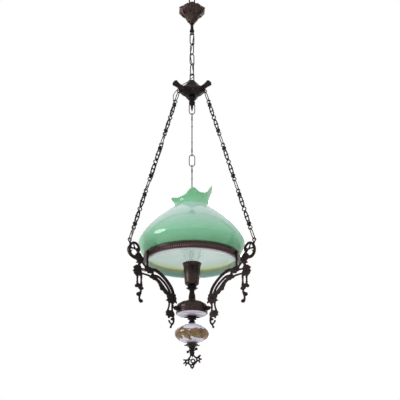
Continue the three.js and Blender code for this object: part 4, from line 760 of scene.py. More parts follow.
def copies(tree, points, form, turn):
    """Copies of an object's form on points, turned about Z."""
    source = add(tree, "GeometryNodeObjectInfo", {"Object": form}).outputs["Geometry"]
    return add(tree, "GeometryNodeInstanceOnPoints", {
        "Points": points, "Instance": source, "Rotation": upright(tree, turn)}).outputs[0]


def realized(tree, geometry, material):
    """Copies made real, with their material."""
    real = add(tree, "GeometryNodeRealizeInstances", {0: geometry}).outputs[0]
    return add(tree, "GeometryNodeSetMaterial", {"Geometry": real, "Material": material}).outputs[0]


def whorl_tree():
    """Geometry Nodes: copies of one form at even turns round the lamp's axis, with what they stand on."""
    if "whorl" in bpy.data.node_groups:
        return bpy.data.node_groups["whorl"]
    tree, given = node_group("whorl", {
        "Core": "Geometry", "Form": "Object", "Count": "Int", "First": "Float", "Material": "Material"})
    points = add(tree, "GeometryNodePoints", {"Count": given["Count"]})
    step = maths(tree, "DIVIDE", 2 * math.pi, given["Count"])
    index = add(tree, "GeometryNodeInputIndex").outputs[0]
    turn = maths(tree, "MULTIPLY_ADD", index, step, given["First"])
    finished = realized(tree, copies(tree, points.outputs[0], given["Form"], turn), given["Material"])
    both = add(tree, "GeometryNodeJoinGeometry")
    tree.links.new(finished, both.inputs[0])
    tree.links.new(given["Core"], both.inputs[0])
    add(tree, "NodeGroupOutput", {0: both.outputs[0]})
    return tree


def grow(made, tree, values):
    """Puts a Geometry Nodes tree on an object and sets its named inputs by the sockets' identifiers."""
    modifier = made.modifiers.new(tree.name, "NODES")
    modifier.node_group = tree
    for item in tree.interface.items_tree:
        if item.item_type == "SOCKET" and item.in_out == "INPUT" and item.name in values:
            modifier[item.identifier] = values[item.name]


def settle(made):
    """Turns what the modifiers make into the object's own plain mesh."""
    evaluated = made.evaluated_get(bpy.context.evaluated_depsgraph_get())
    mesh = bpy.data.meshes.new_from_object(evaluated)
    made.modifiers.clear()
    made.data = mesh


def piece(name, shape, looks, body, nodes=(),
          whorls=(), fuse=None, soften=0, wall=None, turn=None, crease=35):
    """Makes a finished piece: whorls repeat a form round the axis, fuse melts all into one casting of that
    voxel, soften rounds it, wall gives a sheet its thickness, and turn moves it to its place."""
    made = link(name, mesh_from(name, shape))
    for finish in looks:
        made.data.materials.append(look(finish))
    helpers = []
    for number, (form, count, first) in enumerate(whorls):
        helper = link(f"{name}_form_{number}", mesh_from(f"{name}_form_{number}", form))
        helpers.append(helper)
        grow(made, whorl_tree(), {
            "Form": helper, "Count": count, "First": math.radians(first), "Material": look(looks[0])})
    if wall:
        sheet = made.modifiers.new("wall", "SOLIDIFY")
        sheet.thickness = wall * MM
        sheet.offset = -1
    if fuse:
        melt = made.modifiers.new("fuse", "REMESH")
        melt.mode = "VOXEL"
        melt.voxel_size = fuse * MM
    if soften:
        rub = made.modifiers.new("soften", "SMOOTH")
        rub.factor = 0.5
        rub.iterations = soften
    if made.modifiers:
        settle(made)
    for helper in helpers:
        bpy.data.objects.remove(helper)
    mesh = made.data
    if not mesh.materials:
        mesh.materials.append(look(looks[0]))
    if turn is not None:
        mesh.transform(turn)
    mesh.shade_smooth()
    if not fuse:
        mesh.set_sharp_from_angle(angle=math.radians(crease))
    mesh.update()
    if body:
        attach(made, body)
    if nodes:
        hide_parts(*nodes)
    return made


# Canopy and what it hangs on

def canopy_sheet():
    """Fluted bell whose rim rolls out into eight shells, as one sheet from the rim down to the collar."""
    flute = bpy.context.scene.lamp_sizes.flute_depth / MM
    segments = 432

    def swell(radius, angle, z):
        lobe, fold, fine = (np.cos(count * (angle + math.radians(20))) for count in (8, 24, 48))
        out, body = smooth(20.5, 41, radius), smooth(9, 18, radius)
        folded = np.sign(fold) * np.abs(fold) ** 0.7
        grown = radius - body * flute * (1 - folded) * 0.5 + 0.026 * out * radius * (lobe - 1)
        grown = grown + 0.4 * flute * body * (fine - 1)
        return grown, z - 1.8 * out * (1 - lobe) / 2

    line = through(above(CANOPY_FOOT, (8.3, 2), (13.2, 9.4), (19.4, 19.2), (23.4, 28.6), (30.4, 34.6),
                         (38.4, 42), (41.7, 48), (42.2, 51.6)), 1.2)
    faces = grid_faces(len(line), segments, False, True)
    return Shape().add(revolved(line, segments, swell), [face[::-1] for face in faces])


def make_canopy():
    """Bell of the canopy, the collar and trim on it, and the thumb screw's head."""
    rim, foot = height_of("canopy", 1), CANOPY_FOOT
    piece("canopy_bell", canopy_sheet(), ["bronze"], "canopy", ["canopy"], wall=1.5, crease=50)
    collar = spun(above(foot, (5.2, 11), (5.2, 0), (7.4, 0), (8.4, 1.2), (8.4, 2.6), (7.6, 3.6), (7.6, 6),
                        (9.4, 9)), 0.4, 64)
    tips = Shape().join(ball(0, 0, 0, 2.2).moved(shift(41.7, 0, rim - 2.6)))
    tips.join(swept([(36.6, 0, rim - 8.5), (39.8, 0, rim - 4.6)], 1.6, sides=8))
    shell = Shape()
    for k in (-2, -1, 0, 1, 2):
        droop = 0.9 * abs(k)
        line = through([polar(24, 0.4 * k * 3.4, foot + 27.2), polar(31, 0.8 * k * 3.6, foot + 34.2),
                        polar(40.8 - droop, k * 3.9, foot + 46.5 - droop)], 1.5)
        shell.join(swept(line, taper(line, 0.8, 1.7, 1.0), sides=6))
    piece("canopy_trim", collar, ["bronze"], "canopy", whorls=[(tips, 8, -20), (shell, 8, -20)])
    head = turned([(0, 16.4), (2.0, 16.4), (2.5, 15.9), (2.5, 12.3), (1.9, 11.7), (1.4, 11.5), (1.4, 5.2),
                   (0, 5.2)], 32)
    knurl = Shape().join(swept([(2.42, 0, 12.5), (2.42, 0, 15.8)], 0.34, sides=4))
    turn = shift(0, 0, (foot + 2.6) * MM) @ (turning(215) @ turning(90, "Y"))
    piece("canopy_screw_head", head, ["casting"], "canopy_screw", ["canopy_thumb_screw"],
          whorls=[(knurl, 22, 0)], turn=turn)


def make_hanger():
    """Loop that the lamp hangs by, the pipe under it, and the nut with its hook."""
    top = height_of("hanging_loop", 1)
    leg = (BOSS_TOP - 2, BOSS_TOP + 8, BOSS_TOP + 18, top - 10.2)
    loop = Shape().join(swept(hoop(8.2, leg, 0, 25), 4, sides=16, plane=FLAT))
    foot = BOSS_TOP - 9
    loop.join(spun(above(foot, (5.1, 0), (8, 0), (9.9, 1.8), (9.2, 3), (9.9, 4.4), (9.9, 6.8), (8.6, 8.6),
                         (3.2, 9), (3.1, 7)), 0.5, 64))
    piece("hanger_loop", loop, ["casting"], "hanger", ["hanging_loop"])
    low, high = levels("stem_tube")
    # a fine thread, one turn in a millimetre
    thread = [(4.68 - 0.12 * (1 + math.cos(2 * math.pi * z)), z) for z in np.arange(low, high, 0.25)]
    piece("stem_pipe", turned([(3, low)] + thread + [(4.5, high), (3, high)], 48), ["casting"], "hanger",
          ["stem_tube"])
    low, high = levels("stem_eye")
    nut_foot, bend = HOOK_NUT_FOOT, low + 1.6 + 6.2
    nut = spun(above(nut_foot, (4.3, 0), (7.2, 0), (7.5, 1.5), (7.1, 3), (6, 4.2))
               + above(high, (5.9, -1), (5.2, 0), (5.1, -2)), 0.4, 48)
    hook = [(0, x, z) for x, _, z in hoop(6.2, (nut_foot + 0.8, nut_foot - 2, bend), 2 * math.pi, 21)]
    nut.join(swept(hook, 3.2, sides=14, plane=(1, 0, 0)), CHAIN_TURN)
    piece("stem_hook", nut, ["casting"], "hanger", ["stem_eye"])


# Chains

def wire_link(length, half_width, wire, weld, sides):
    """Link of round wire, with the welded joint half way up one side given as heights and widths."""
    heights, widths = weld
    link_wire = swept(stadium(length, half_width), wire, sides=sides, closed=True, plane=FLAT)
    return link_wire.join(swept([(half_width, 0, z) for z in heights], widths, sides=12))


def make_centre_chain():
    """Four wire links, each at a quarter turn to the one before."""
    weld = ((-1.1, -0.6, 0, 0.6, 1.1), (3.0, 3.5, 3.6, 3.5, 3.0))
    for number in range(1, 5):
        low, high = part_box(f"centre_link_{number}")
        middle = (low.z + high.z) / 2 / MM
        turn = CHAIN_TURN + (0 if number % 2 else 90)
        body = "hanger" if number == 1 else f"link_{number}"
        shape = Shape().join(wire_link(39.4, 7.4, LINK_WIRE, weld, 14), turn, middle)
        piece(f"centre_chain_{number}", shape, ["casting"], body, [f"centre_link_{number}"])


def ornate_casting():
    """Cast link in the XZ plane, centred: three rings, round-ended cross bars and slotted bars."""
    shape = Shape().join(ring(0, 0, 5.6, 3.2, 3.3))
    for end in (1, -1):
        shape.join(ring(0, end * (CAST_LINK / 2), 5.3, 2.8, 3.3))
        for offset, size in ((53.4, 2.6), (50.4, 4.6), (47.2, 5.2), (44.0, 3.9)):
            shape.join(swept([(-size, 0, end * offset), (size, 0, end * offset)], 3.2, 4.2, plane=FLAT))
            for x in (size, -size):
                shape.join(ball(x, 0, end * offset, 1.9, sides=10))
        shape.join(swept([(0, 0, end * 43), (0, 0, end * 55)], 4.4, 4.6, plane=FLAT))
        for side in (1, -1):
            points = ((1.2, 6.2), (3.4, 12), (4.0, 24), (3.8, 36), (2.2, 43))
            bar = in_plane([(side * x, end * z) for x, z in points])
            shape.join(swept(bar, 3.7, 3.3, plane=FLAT, square=0.8))
            shape.join(ball(side * 4.9, 0, end * 24.5, 2.4, sides=8))
        for half, height, width in ((4, 24.5, 4.4), (4, 11, 4), (3.6, 38, 4)):
            bar = [(-half, 0, end * height), (half, 0, end * height)]
            shape.join(swept(bar, width, 3.2, sides=8, plane=FLAT))
    return shape


def side_chain_tree():
    """Geometry Nodes: one kind of link, repeated down a straight chain, leant out and turned to its side."""
    tree, given = node_group("side_chain", {
        "Form": "Object", "Count": "Int", "Material": "Material", **dict.fromkeys(
            ("First", "Pitch", "Quarter turn", "Lean", "Azimuth", "Eye radius", "Eye level"), "Float")})
    index = add(tree, "GeometryNodeInputIndex").outputs[0]
    down = maths(tree, "MULTIPLY_ADD", index, given["Pitch"], given["First"])
    place = upright(tree, maths(tree, "MULTIPLY", down, -1.0))
    points = add(tree, "GeometryNodePoints", {"Count": given["Count"], "Position": place})
    links = copies(tree, points.outputs[0], given["Form"], given["Quarter turn"])
    leant = add(tree, "ShaderNodeCombineXYZ", {"Y": maths(tree, "MULTIPLY", given["Lean"], -1.0)})
    out = add(tree, "ShaderNodeCombineXYZ", {"X": given["Eye radius"], "Z": given["Eye level"]})
    hung = add(tree, "GeometryNodeTransform", {
        "Geometry": links, "Translation": out.outputs[0], "Rotation": leant.outputs[0]})
    placed = add(tree, "GeometryNodeTransform", {
        "Geometry": hung.outputs[0], "Rotation": upright(tree, given["Azimuth"])})
    add(tree, "NodeGroupOutput", {0: realized(tree, placed.outputs[0], given["Material"])})
    return tree


def make_side_chains():
    """Three straight side chains, of three castings and four wire links each."""
    tree = side_chain_tree()
    weld = ((-1.6, -0.9, 0, 0.9, 1.6), (2.6, 3.1, 3.15, 3.1, 2.6))
    cast = piece("chain_casting_form", ornate_casting(), ["casting"], None, fuse=0.55, soften=3)
    wire = piece("chain_wire_form", wire_link(WIRE_LINK, 8.4, 2.8, weld, 12), ["wire"], None)
    first_cast, first_wire = EYE_SEAT + WIRE_LINK + LINK_SEAT + CAST_LINK / 2, EYE_SEAT + WIRE_LINK / 2
    runs = (("castings", cast, 3, first_cast, 0, "casting", "dark_cast", "ornate"),
            ("wires", wire, 4, first_wire, 90, "wire", "steel", "wire"))
    for side, azimuth in AZIMUTHS.items():
        for name, form, count, first, quarter, finish, slot, kind in runs:
            made = link(f"chain_{side}_{name}", bpy.data.meshes.new(f"chain_{side}_{name}"))
            grow(made, tree, {
                "Form": form, "Count": count, "First": first * MM, "Pitch": CHAIN_PITCH * MM,
                "Quarter turn": math.radians(quarter), "Lean": math.radians(CHAIN_LEAN),
                "Azimuth": math.radians(azimuth), "Eye radius": EYE_RADIUS * MM, "Eye level": EYE_LEVEL * MM,
                "Material": look(finish)})
            settle(made)
            made.data.shade_smooth()
            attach(made, f"chain_{side}")
            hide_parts(*[f"chain_{side}_{kind}_{i + 1}" for i in range(count)])
    for form in (cast, wire):
        bpy.data.objects.remove(form)


# Crown

def crown_bell():
    """Bell of the crown, gadrooned, whose foot swells out into three lobes."""
    foot, top = CROWN_FOOT, CROWN_TOP

    def swell(radius, angle, z):
        turn = angle - math.pi / 2
        lobed = radius + smooth(8.5, 37, radius) * 8 * np.cos(3 * turn)
        upper, out = smooth(foot + 15, foot + 22, z), smooth(12, 24, radius)
        return lobed + out * (0.9 * np.cos(15 * turn) - 0.9) * (1 - 0.4 * upper), z

    profile = above(foot, (3.4, 0), (13, 0), (22.5, 3), (32, 6.6), (36.6, 12.4), (36.2, 17.6), (30.4, 23),
                    (23, 30.4), (15.6, 41)) + above(top, (9.6, -0.2), (3.4, -0.2))
    return turned(through(profile, 1.3), 180, swell)


def crown_tip():
    """Leaf tip of one lobe with its ribs, and the chain's eye under it."""
    foot = CROWN_FOOT
    half = [(0, -12), (9, -9.6), (18, -9), (25, -10.8), (31, -12.4), (34.4, -7)]
    outline = half + [(33, 0)] + [(x, -z) for x, z in half[::-1]]
    tip = Shape().join(plate(outline, 5.4).moved(turning(90, "X")))
    for reach, spread_out in ((33.2, 8.2), (33.6, 4.6), (31.6, 0), (33.6, -4.6), (33.2, -8.2)):
        for side in (1, -1):
            line = through([(-2, 0.5 * spread_out, 2.6 * side), (14, 0.5 * spread_out, 2.8 * side),
                            (reach - 1, spread_out, 2.5 * side)], 1.5)
            tip.join(swept(line, taper(line, 2.4, 2.0, 1.4), sides=6))
    tip.join(swept([(30.6, -10.6, 1.6), (33, -5, 2.4), (33, 5, 2.4), (30.6, 10.6, 1.6)], 6.4, 6))
    tip.moved(shift(31, 0, foot + 16.4) @ turning(-24, "Y"))
    tip.join(swept(in_plane(above(foot, (38, 15), (42.5, 13), (45.6, 11.6))), 4.6, 4.4, plane=FLAT))
    tip.join(ring(EYE_RADIUS, EYE_LEVEL, 4.7, 2.6, 4.3))
    tip.join(swept(in_plane(above(foot, (34, 6), (38, 6), (41.4, 5))), 6, 4.4, plane=FLAT))
    tip.join(swept(in_plane(above(foot, (45.4, 8.4), (45.2, 12))), 3.4, 4.2, plane=FLAT))
    return tip


def make_crown():
    """Bell with its lobes and leaves, the bow over it and the drop under it."""
    foot, top = CROWN_FOOT, CROWN_TOP
    acanthus = leaf_at(14.5, foot + 43, 49, 25, 15, 1.6, 4, curl=-7)
    small = leaf_at(12.5, foot + 42, 55, 19, 9, 1.4, 3, curl=-4)
    under = leaf_at(13.5, foot + 0.6, -14, 21, 11, 1.4, 3, curl=3)
    piece("crown_casting", crown_bell(), ["casting"], "crown", ["crown_body"],
          whorls=[(crown_tip(), 3, 90), (acanthus, 3, 90), (small, 3, 150), (small, 6, 117), (under, 6, 60)],
          fuse=0.75, soften=3)
    leg = (top + 1, top + 8, top + 14, height_of("crown_loop", 1) - 8.8)
    loop = Shape().join(swept(hoop(7.2, leg, 0, 25), 3.2, sides=14, plane=FLAT), CHAIN_TURN)
    loop.join(spun(above(top, (0, -11.9), (2.9, -11.8), (2.9, 0.3), (8.3, 0.4), (9.4, 1.6), (8.4, 3),
                         (6.5, 3.5), (0, 3.5)), 0.6, 48))
    piece("crown_bow", loop, ["casting"], "crown", ["crown_loop"])
    high = foot - 0.4
    drop = spun(above(high, (0, -49.9), (1.5, -49.2), (2.1, -45), (2.5, -34), (5.2, -29.4), (6.8, -27.4),
                      (9.6, -23.6), (9.0, -20), (7.0, -16), (7.8, -12.8), (12.2, -9.8), (12.0, -6),
                      (9.2, -0.3), (0, -0.3)), 0.7, 72)
    skirt = leaf_at(9.4, high - 2, 72, 11.5, 9, 1.3, 2, curl=-1.5)
    husk = leaf_at(8.4, high - 16, 98, 14, 7, 1.3, 2, curl=1)
    spine = leaf_at(3.4, high - 31, 95, 12, 3.6, 1.1, 2)
    piece("crown_drop", drop, ["casting"], "crown", ["crown_finial"], fuse=0.5, soften=2,
          whorls=[(skirt, 6, 0), (husk, 6, 30), (spine, 4, 0)])


# Gallery ring and glass

def make_gallery_ring():
    """Ribbed and beaded ring that holds the shade, and its three screws."""
    z = RING_PLANE
    band = spun(above(z, (130.9, 0.3), (135.1, 0.3), (135.8, 1), (135.7, 2.4), (134.7, 3.2), (134.7, 13),
                      (135.6, 13.8), (135.8, 15.2), (134.8, 16.2), (135.1, 17.2), (134, 17.9), (130.9, 17.9)),
                0.35, 240)
    middle = above(z, (134.8, 3.4), (135, 4.4), (135, 11.8), (134.8, 12.8))
    rib = Shape().join(swept([(x, 0, height) for x, height in middle], [2.2, 3.0, 3.0, 2.2],
                             [0.9, 1.6, 1.6, 0.9], sides=6))
    bead = Shape().join(ball(135.1, 0, z + 1.6, 0.85, sides=6))
    count = bpy.context.scene.lamp_sizes.ring_ribs
    piece("ring_band", band, ["bronze"], "frame", ["gallery_ring"],
          whorls=[(rib, count, 0), (bead, count, 1)])
    face = 142.9
    for side, azimuth in AZIMUTHS.items():
        turn = turning(azimuth) @ shift(0, 0, (z + 8.2) * MM) @ turning(90, "Y")
        head = spun([(0, 131.4), (1.9, 131.4), (1.9, face - 0.1), (3.3, face + 0.1), (3.5, face + 0.9),
                     (2.5, face + 2.3), (0, face + 2.5)], 0.4, 40)
        head.join(swept([(-3.2, 0, face + 2.15), (3.2, 0, face + 2.15)], 0.6, 0.7, sides=6))
        piece(f"ring_screw_head_{side}", head, ["wire"], "frame", [f"ring_screw_{side}"], turn=turn)


# heights of the glass over the ring plane, and the widest radius of its bowl
BELLY, NECK, RIM = 54, 167, 201
WIDEST = 151.5


def crimp_wave(angle):
    """Five crimps round the rim: narrow peaks, from -0.64 to 1.06."""
    turn = 5 * (angle + math.radians(18))
    return 0.85 * (np.cos(turn) + 0.25 * np.cos(2 * turn))


def rim_height(angle):
    """Height of the crimped rim, which stands higher on one side."""
    tilt = np.cos(angle - math.radians(24.6))
    return RIM + 11.9 * tilt + 10.9 * (1 + 0.66 * tilt) * crimp_wave(angle) - 5 * np.maximum(0, -tilt) ** 2


def bowl_radius(height):
    """Outer radius of the bowl at a height."""
    if height < BELLY:
        below = (BELLY - height) / (BELLY - 19.3)
        return WIDEST - 17.5 * (0.35 * below + 0.65 * below ** 2)
    return WIDEST - 102 * ((height - BELLY) / (NECK - BELLY)) ** 1.55


def make_shade():
    """Glass with an outer and an inner face, whose neck opens into the crimped rim."""
    outer = [(129.1, -3.6), (129.1, 15.5), (129.4, 17.8), (131, 19.2)]
    heights = (20.4, 24, 29, 35, 43, 50, 58, 68, 80, 92, 104, 116, 127, 137, 146, 154, 161)
    outer += [(bowl_radius(z), z) for z in heights]
    outer += [(51.6, 165.6), (49.6, 169.5), (49.4, 174), (49.4, 181), (49.4, 191), (49.4, 200.6)]
    line = through(outer, 1.6)
    step = np.gradient(line, axis=0)
    step /= np.linalg.norm(step, axis=1)[:, None]
    # the wall thins from the bowl to the rim
    thick = 3.1 - 1.0 * smooth(165, 200, line[:, 1])
    lining = line + np.stack([-step[:, 1], step[:, 0]], -1) * thick[:, None]
    lining[:, 1] = np.maximum(lining[:, 1], -3.6)

    def swell(radius, angle, z):
        share = np.clip((z - NECK) / (RIM - NECK), 0, 1.02) * (radius < 56)
        # the lower third of the neck stays a plain cylinder
        opened = np.clip((share - 0.3) / 0.7, 0, 1.03) ** 1.7
        height = np.where(share > 0, NECK + share * (rim_height(angle) - NECK), z)
        return radius + opened * (7 + 4.6 * crimp_wave(angle)), height + RING_PLANE

    segments = 280
    # the rolled rim and the ground foot close the two faces of the glass
    tip = (line[-1] + lining[-1]) / 2 + (0, 0.9)
    foot = (line[0] + lining[0]) / 2 - (0, 0.4)
    whole = np.vstack([foot, line, tip, lining[::-1]])
    faces = grid_faces(len(whole), segments, True, True)
    shape = Shape().add(revolved(whole, segments, swell), faces)
    # the lip inside the ring is white, without the green face
    lip = 1 + int(np.sum(line[:, 1] < 18.6))
    for face in faces:
        first, last = min(face) // segments, max(face) // segments
        green = first <= len(line) + 1 and last <= len(line) + 2
        shape.marks.append(2 if first < lip else 0 if green else 1)
    piece("shade_bowl", shape, ["green_glass", "casing", "porcelain"], "shade", ["shade_glass"],
          crease=70)


# Arms: strokes drawn in the plane of the radius and the axis, heights from the ring plane

def stroke(points, width, depth=6.2, square=0.85):
    """Cast bar along (radius, height) points; width and depth may be given as stops from start to end."""
    line = in_plane(points)
    stops = width if hasattr(width, "__len__") else (width, width)
    depths = depth if hasattr(depth, "__len__") else (depth, depth)
    return swept(line, taper(line, *stops), taper(line, *depths), 10, False, FLAT, square)


def bead_line(points, radius, lift):
    """Two thin raised lines, one on each face of a bar."""
    shape = Shape()
    line = in_plane(points)
    for side in (1, -1):
        shape.join(swept(line + (0, side * lift, 0), 2 * radius, sides=6))
    return shape


def knob(x, z, radius, squash=0.8):
    """Round knob that stands a little proud of both faces."""
    return ball(0, 0, 0, radius, squash).moved(turning(90, "X")).moved(shift(x, 0, z))


def leaf_patch(outline, veins, thickness=7.4):
    """Cast leaf with a lobed outline and raised veins on both faces."""
    shape = plate(outline, thickness - 1.6)
    for points in veins:
        line = in_plane(points)
        for side in (1, -1):
            shape.join(swept(line + (0, side * (thickness / 2 - 0.9), 0), taper(line, 2.4, 1.0), sides=6))
    return shape


class Drawing(Shape):
    """A shape drawn as flat ironwork is: bars, round knobs and leaves."""

    def bar(self, points, width, depth=6.2, square=0.85):
        return self.join(stroke(points, width, depth, square))

    def knob(self, x, z, radius, squash=0.8):
        return self.join(knob(x, z, radius, squash))

    def leaf(self, thickness, outline, *veins):
        return self.join(leaf_patch(outline, veins, thickness))


def draw_scroll(arm):
    """Scroll that carries the chain's eye, with the leaf at its foot."""
    turns = [(179.4 + 14.6 * math.cos(math.radians(a)), 8.4 + 20 * math.sin(math.radians(a)))
             for a in np.arange(-118, 169, 14.3)]
    curl = turns + [(165.4, 8.5), (167.6, 4.8), (171, 6.6), (170.4, 10)]
    arm.bar(curl, (10, 8.8, 7.6, 7, 5.6), (6.6, 6.2, 6, 6))
    arm.knob(168.6, 9.4, 6.4, 0.6)
    # the scroll's bead stops short of both its ends
    arm.join(bead_line(turns[2:-3], 0.9, 3.0))
    arm.bar([(192, 15.5), (186, 12), (180, 13.4), (175, 10.4), (170, 11.5)], (5, 4.2, 5.4), 5)
    arm.bar([(182, 27), (180.4, 20), (178.4, 13)], (3.6, 3.2), 4.8)
    arm.knob(178.8, 12.6, 3.8)
    arm.bar([(192.6, 0), (187.8, 3.6), (186.4, 7.6)], (3.2, 2.6, 2.2), 4.4)
    arm.leaf(8, [(151, -15), (152.6, -9.4), (156, -7.4), (158, -3), (161, 0), (165.6, 3.6), (169, 3.6),
                 (172, 0), (174.8, -1.6), (175.6, -5), (180, -9), (176.6, -12.4), (173.6, -16), (169, -19.4),
                 (173, -26.6), (163, -27.2), (155, -25), (152.4, -20)],
             [(161, -23), (164, -12), (169.6, 2)], [(162, -20), (168, -14), (176, -9)],
             [(160, -20), (158, -14), (156, -8)])
    arm.bar([(160, -20), (162, -27), (166, -36)], (9, 8, 8.6), 6.6)
    arm.bar([(157, -21), (150, -28.6), (142, -37)], (5, 4.4, 5.2), 5.6)


def draw_boss(arm):
    """Boss between its leaves, and the two bars that go from it to the arcs."""
    arm.leaf(8, [(157.5, -41), (159, -35.6), (163, -32.5), (168, -34.4), (173.5, -32.6), (177, -36.4),
                 (181.4, -39), (179.6, -41.6), (178, -44), (179.6, -47), (182.4, -50.5), (178.6, -52.4),
                 (178, -57.6), (174, -60), (172, -63.4), (163, -61.6), (154, -63), (156.4, -58), (155, -53),
                 (158, -47)],
             [(161, -60), (167, -48), (165, -35)], [(167, -48), (173, -44), (179, -40)],
             [(166, -50), (172, -51), (179, -50)], [(164, -53), (168, -57), (171, -61)])
    arm.knob(167.4, -47.6, 4.2, 1.0)
    arm.bar([(162, -42.6), (150, -42), (136, -44.5)], (5.4, 5, 5.6), 5.8)
    arm.bar([(162, -54.4), (145, -55.6), (124, -59)], (5.4, 5, 6.2), 5.8)
    arm.leaf(7.4, [(147, -31), (146, -39), (144.8, -45), (140, -46.6), (136, -51), (128, -50), (120.4, -52),
                   (121, -46), (119.4, -41), (125, -38), (128, -34.6), (133, -33), (137, -30.8), (142, -32)],
             [(140, -36), (134, -42), (125, -47)], [(136, -40), (130, -40)])


def draw_drop(arm):
    """Drop under the boss: two cross-barred rods, a leaf, and a stem that curls up again."""
    for x in (156.4, 168):
        arm.bar([(x, -58), (x + 0.3, -73), (x, -88)], (5.6, 4.8, 5.4), 5.8)
        arm.bar([(x - 3, -66), (x + 3, -66)], 2.8, 5.6)
        arm.bar([(x - 2.9, -80), (x + 2.9, -80)], 2.6, 5.6)
    arm.leaf(7, [(168, -82.6), (172, -86), (169, -90.4), (166, -94), (163, -98), (160, -100), (156, -96),
                 (153, -92), (153, -83.4), (160, -85)],
             [(161, -84), (161, -91), (160, -97)], [(162, -88), (167, -87)], [(160, -90), (156, -89)])
    arm.bar([(160.5, -92), (156.8, -105), (161, -121), (158, -131)], (6.6, 5.6, 5.8, 5), (6, 5.4, 5.2, 5))
    arm.bar([(163, -88), (167, -87.4), (171, -91)], (4, 3.4), 5)
    arm.knob(170.8, -91.2, 4.9)
    arm.knob(153, -96, 4.3)
    arm.bar([(158, -92.6), (155, -92.6), (153, -96)], (3.6, 3), 4.8)
    arm.knob(165.2, -113.5, 5.4)
    arm.bar([(158, -108.6), (162, -107.6), (165.4, -113)], (4, 3.4), 4.8)
    arm.bar([(160.4, -119), (161.4, -127), (158, -134), (152.2, -132.6), (152.4, -128.4)],
            (5.4, 4.8, 4.6, 4, 3.4), 5)
    arm.knob(155, -130.8, 4.9)


def draw_arcs(arm):
    """Double arc from the ring's post to the cap, with leaves between its bars."""
    outer = [(137, -41.5), (116, -38.6), (97.6, -47), (79.6, -62), (64.2, -81.6), (57.4, -101), (56.4, -108)]
    inner = [(127, -55.5), (108, -55.5), (90, -67), (76, -82.4), (67.4, -100)]
    arm.bar(outer, (8.4, 7.4, 8.4), 5.2, 0.5)
    arm.join(bead_line(outer, 1.0, 2.4))
    arm.bar(inner, (6.8, 5.8, 6.8), 5, 0.5)
    arm.leaf(7, [(131, -56), (131, -63), (124, -64), (119, -67.4), (112, -68), (107, -72.4), (104, -75.6),
                 (102.6, -80.4), (99.6, -84.4), (99, -89.6), (96, -92.4), (90.4, -93), (88, -96.6),
                 (84, -101), (79.4, -102), (78, -106.6), (76, -111), (70.6, -110), (66, -106), (70, -99),
                 (75.2, -94.4), (81.4, -87), (88, -79.4), (94.6, -71.8), (101.4, -65.4), (107.6, -61.8),
                 (111.4, -57), (116, -55.6)],
             [(122, -58.6), (114, -65)], [(108, -64), (101, -73)], [(99, -70), (96, -82)],
             [(89, -80), (88, -92)], [(80, -90), (79, -99)], [(74, -98), (73.6, -107)])
    arm.bar([(123, -42), (122, -49), (121, -56)], (6, 5.2, 6), 6)
    # shell of leaves where the arcs meet
    arm.leaf(8, [(51, -98), (58, -100), (64, -97.6), (68, -100.4), (73, -98), (74.4, -103), (77.4, -107),
                 (75.4, -110), (76, -113), (81.6, -118.6), (77, -119), (73.4, -120), (73.4, -123),
                 (71.4, -126), (65, -124), (58.4, -127.4), (56.4, -124), (55.5, -121.5), (51, -120.8),
                 (46.6, -123.2), (48.8, -118.6), (50.5, -115), (49, -110), (52, -104)],
             [(62, -122), (62, -111), (62, -101)], [(62, -112), (68, -107), (71, -101)],
             [(62, -112), (56, -107), (54, -101)], [(63, -115), (70, -114), (77, -117.6)],
             [(61, -115), (55, -116), (49, -120.6)])
    arm.knob(62.4, -112, 4.4, 1.05)


def draw_lower_drop(arm):
    """Drop under the arcs: two rods, a leaf and a stem with a curl."""
    arm.bar([(70.6, -120), (71.4, -133), (77.5, -151)], (5.4, 4.8, 6), 5.8)
    arm.bar([(61, -120), (62, -138), (60, -156)], (5.6, 5, 6), 5.8)
    arm.leaf(7.6, [(55, -153), (58, -147.4), (62, -145.4), (69, -144), (76, -146), (82, -150), (79, -152.8),
                   (79.5, -155), (81, -160), (77, -159.4), (74, -161), (73.4, -164.6), (71, -167.5),
                   (68.4, -164), (66.5, -162), (60, -162.6), (57, -161), (55, -158)],
             [(68, -147), (68, -155), (71, -163)], [(67, -152), (73, -151), (79, -151)],
             [(66, -153), (60, -152), (57, -154)], [(68, -156), (74, -156), (78, -158)])
    arm.knob(67.6, -152.8, 3.8, 1.05)
    arm.bar([(60, -156), (57, -168), (58.4, -178.5), (63.4, -185), (66.4, -191)], (7, 6, 5.6, 5.2, 4.2), 5.6)
    arm.bar([(60, -182), (66, -180), (70, -176), (71.4, -174)], (5.2, 4.4, 4), 5)
    arm.knob(70.6, -174.2, 3.2)
    arm.knob(63, -168.4, 3.6)
    arm.knob(65.6, -190, 3.6)


def draw_seats(arm):
    """What the arm is held by and holds: pad and loop at the cap, post at the ring, eye at the chain."""
    arm.join(swept([(45.9, 0, -129.7), (45.9, 0, -141.4)], 2.8, 10.8, 12, square=0.5, plane=FLAT))
    arm.join(ring(51.7, -135.5, 3.7, 3, 6.2))
    arm.knob(50.8, -135.5, 6.2, 1.05)
    arm.bar([(55, -135.5), (59, -135), (63, -135.5)], (6, 4.8, 5.8), 6.2)
    arm.bar([(139.4, 13.4), (139.4, -14), (139.4, -37)], (6.2, 5.8, 6.2), 6.2, 0.6)
    for z in (-8, -20, -30):
        arm.bar([(136.2, z), (142.6, z)], 2.6, 6.6)
    arm.join(ring(ARM_EYE_RADIUS, ARM_EYE_HEIGHT, 4.7, 2.6, 4.2))
    arm.bar([(194, 30.6), (192.6, 26), (190, 20)], (6, 5.4, 7), 4.4)


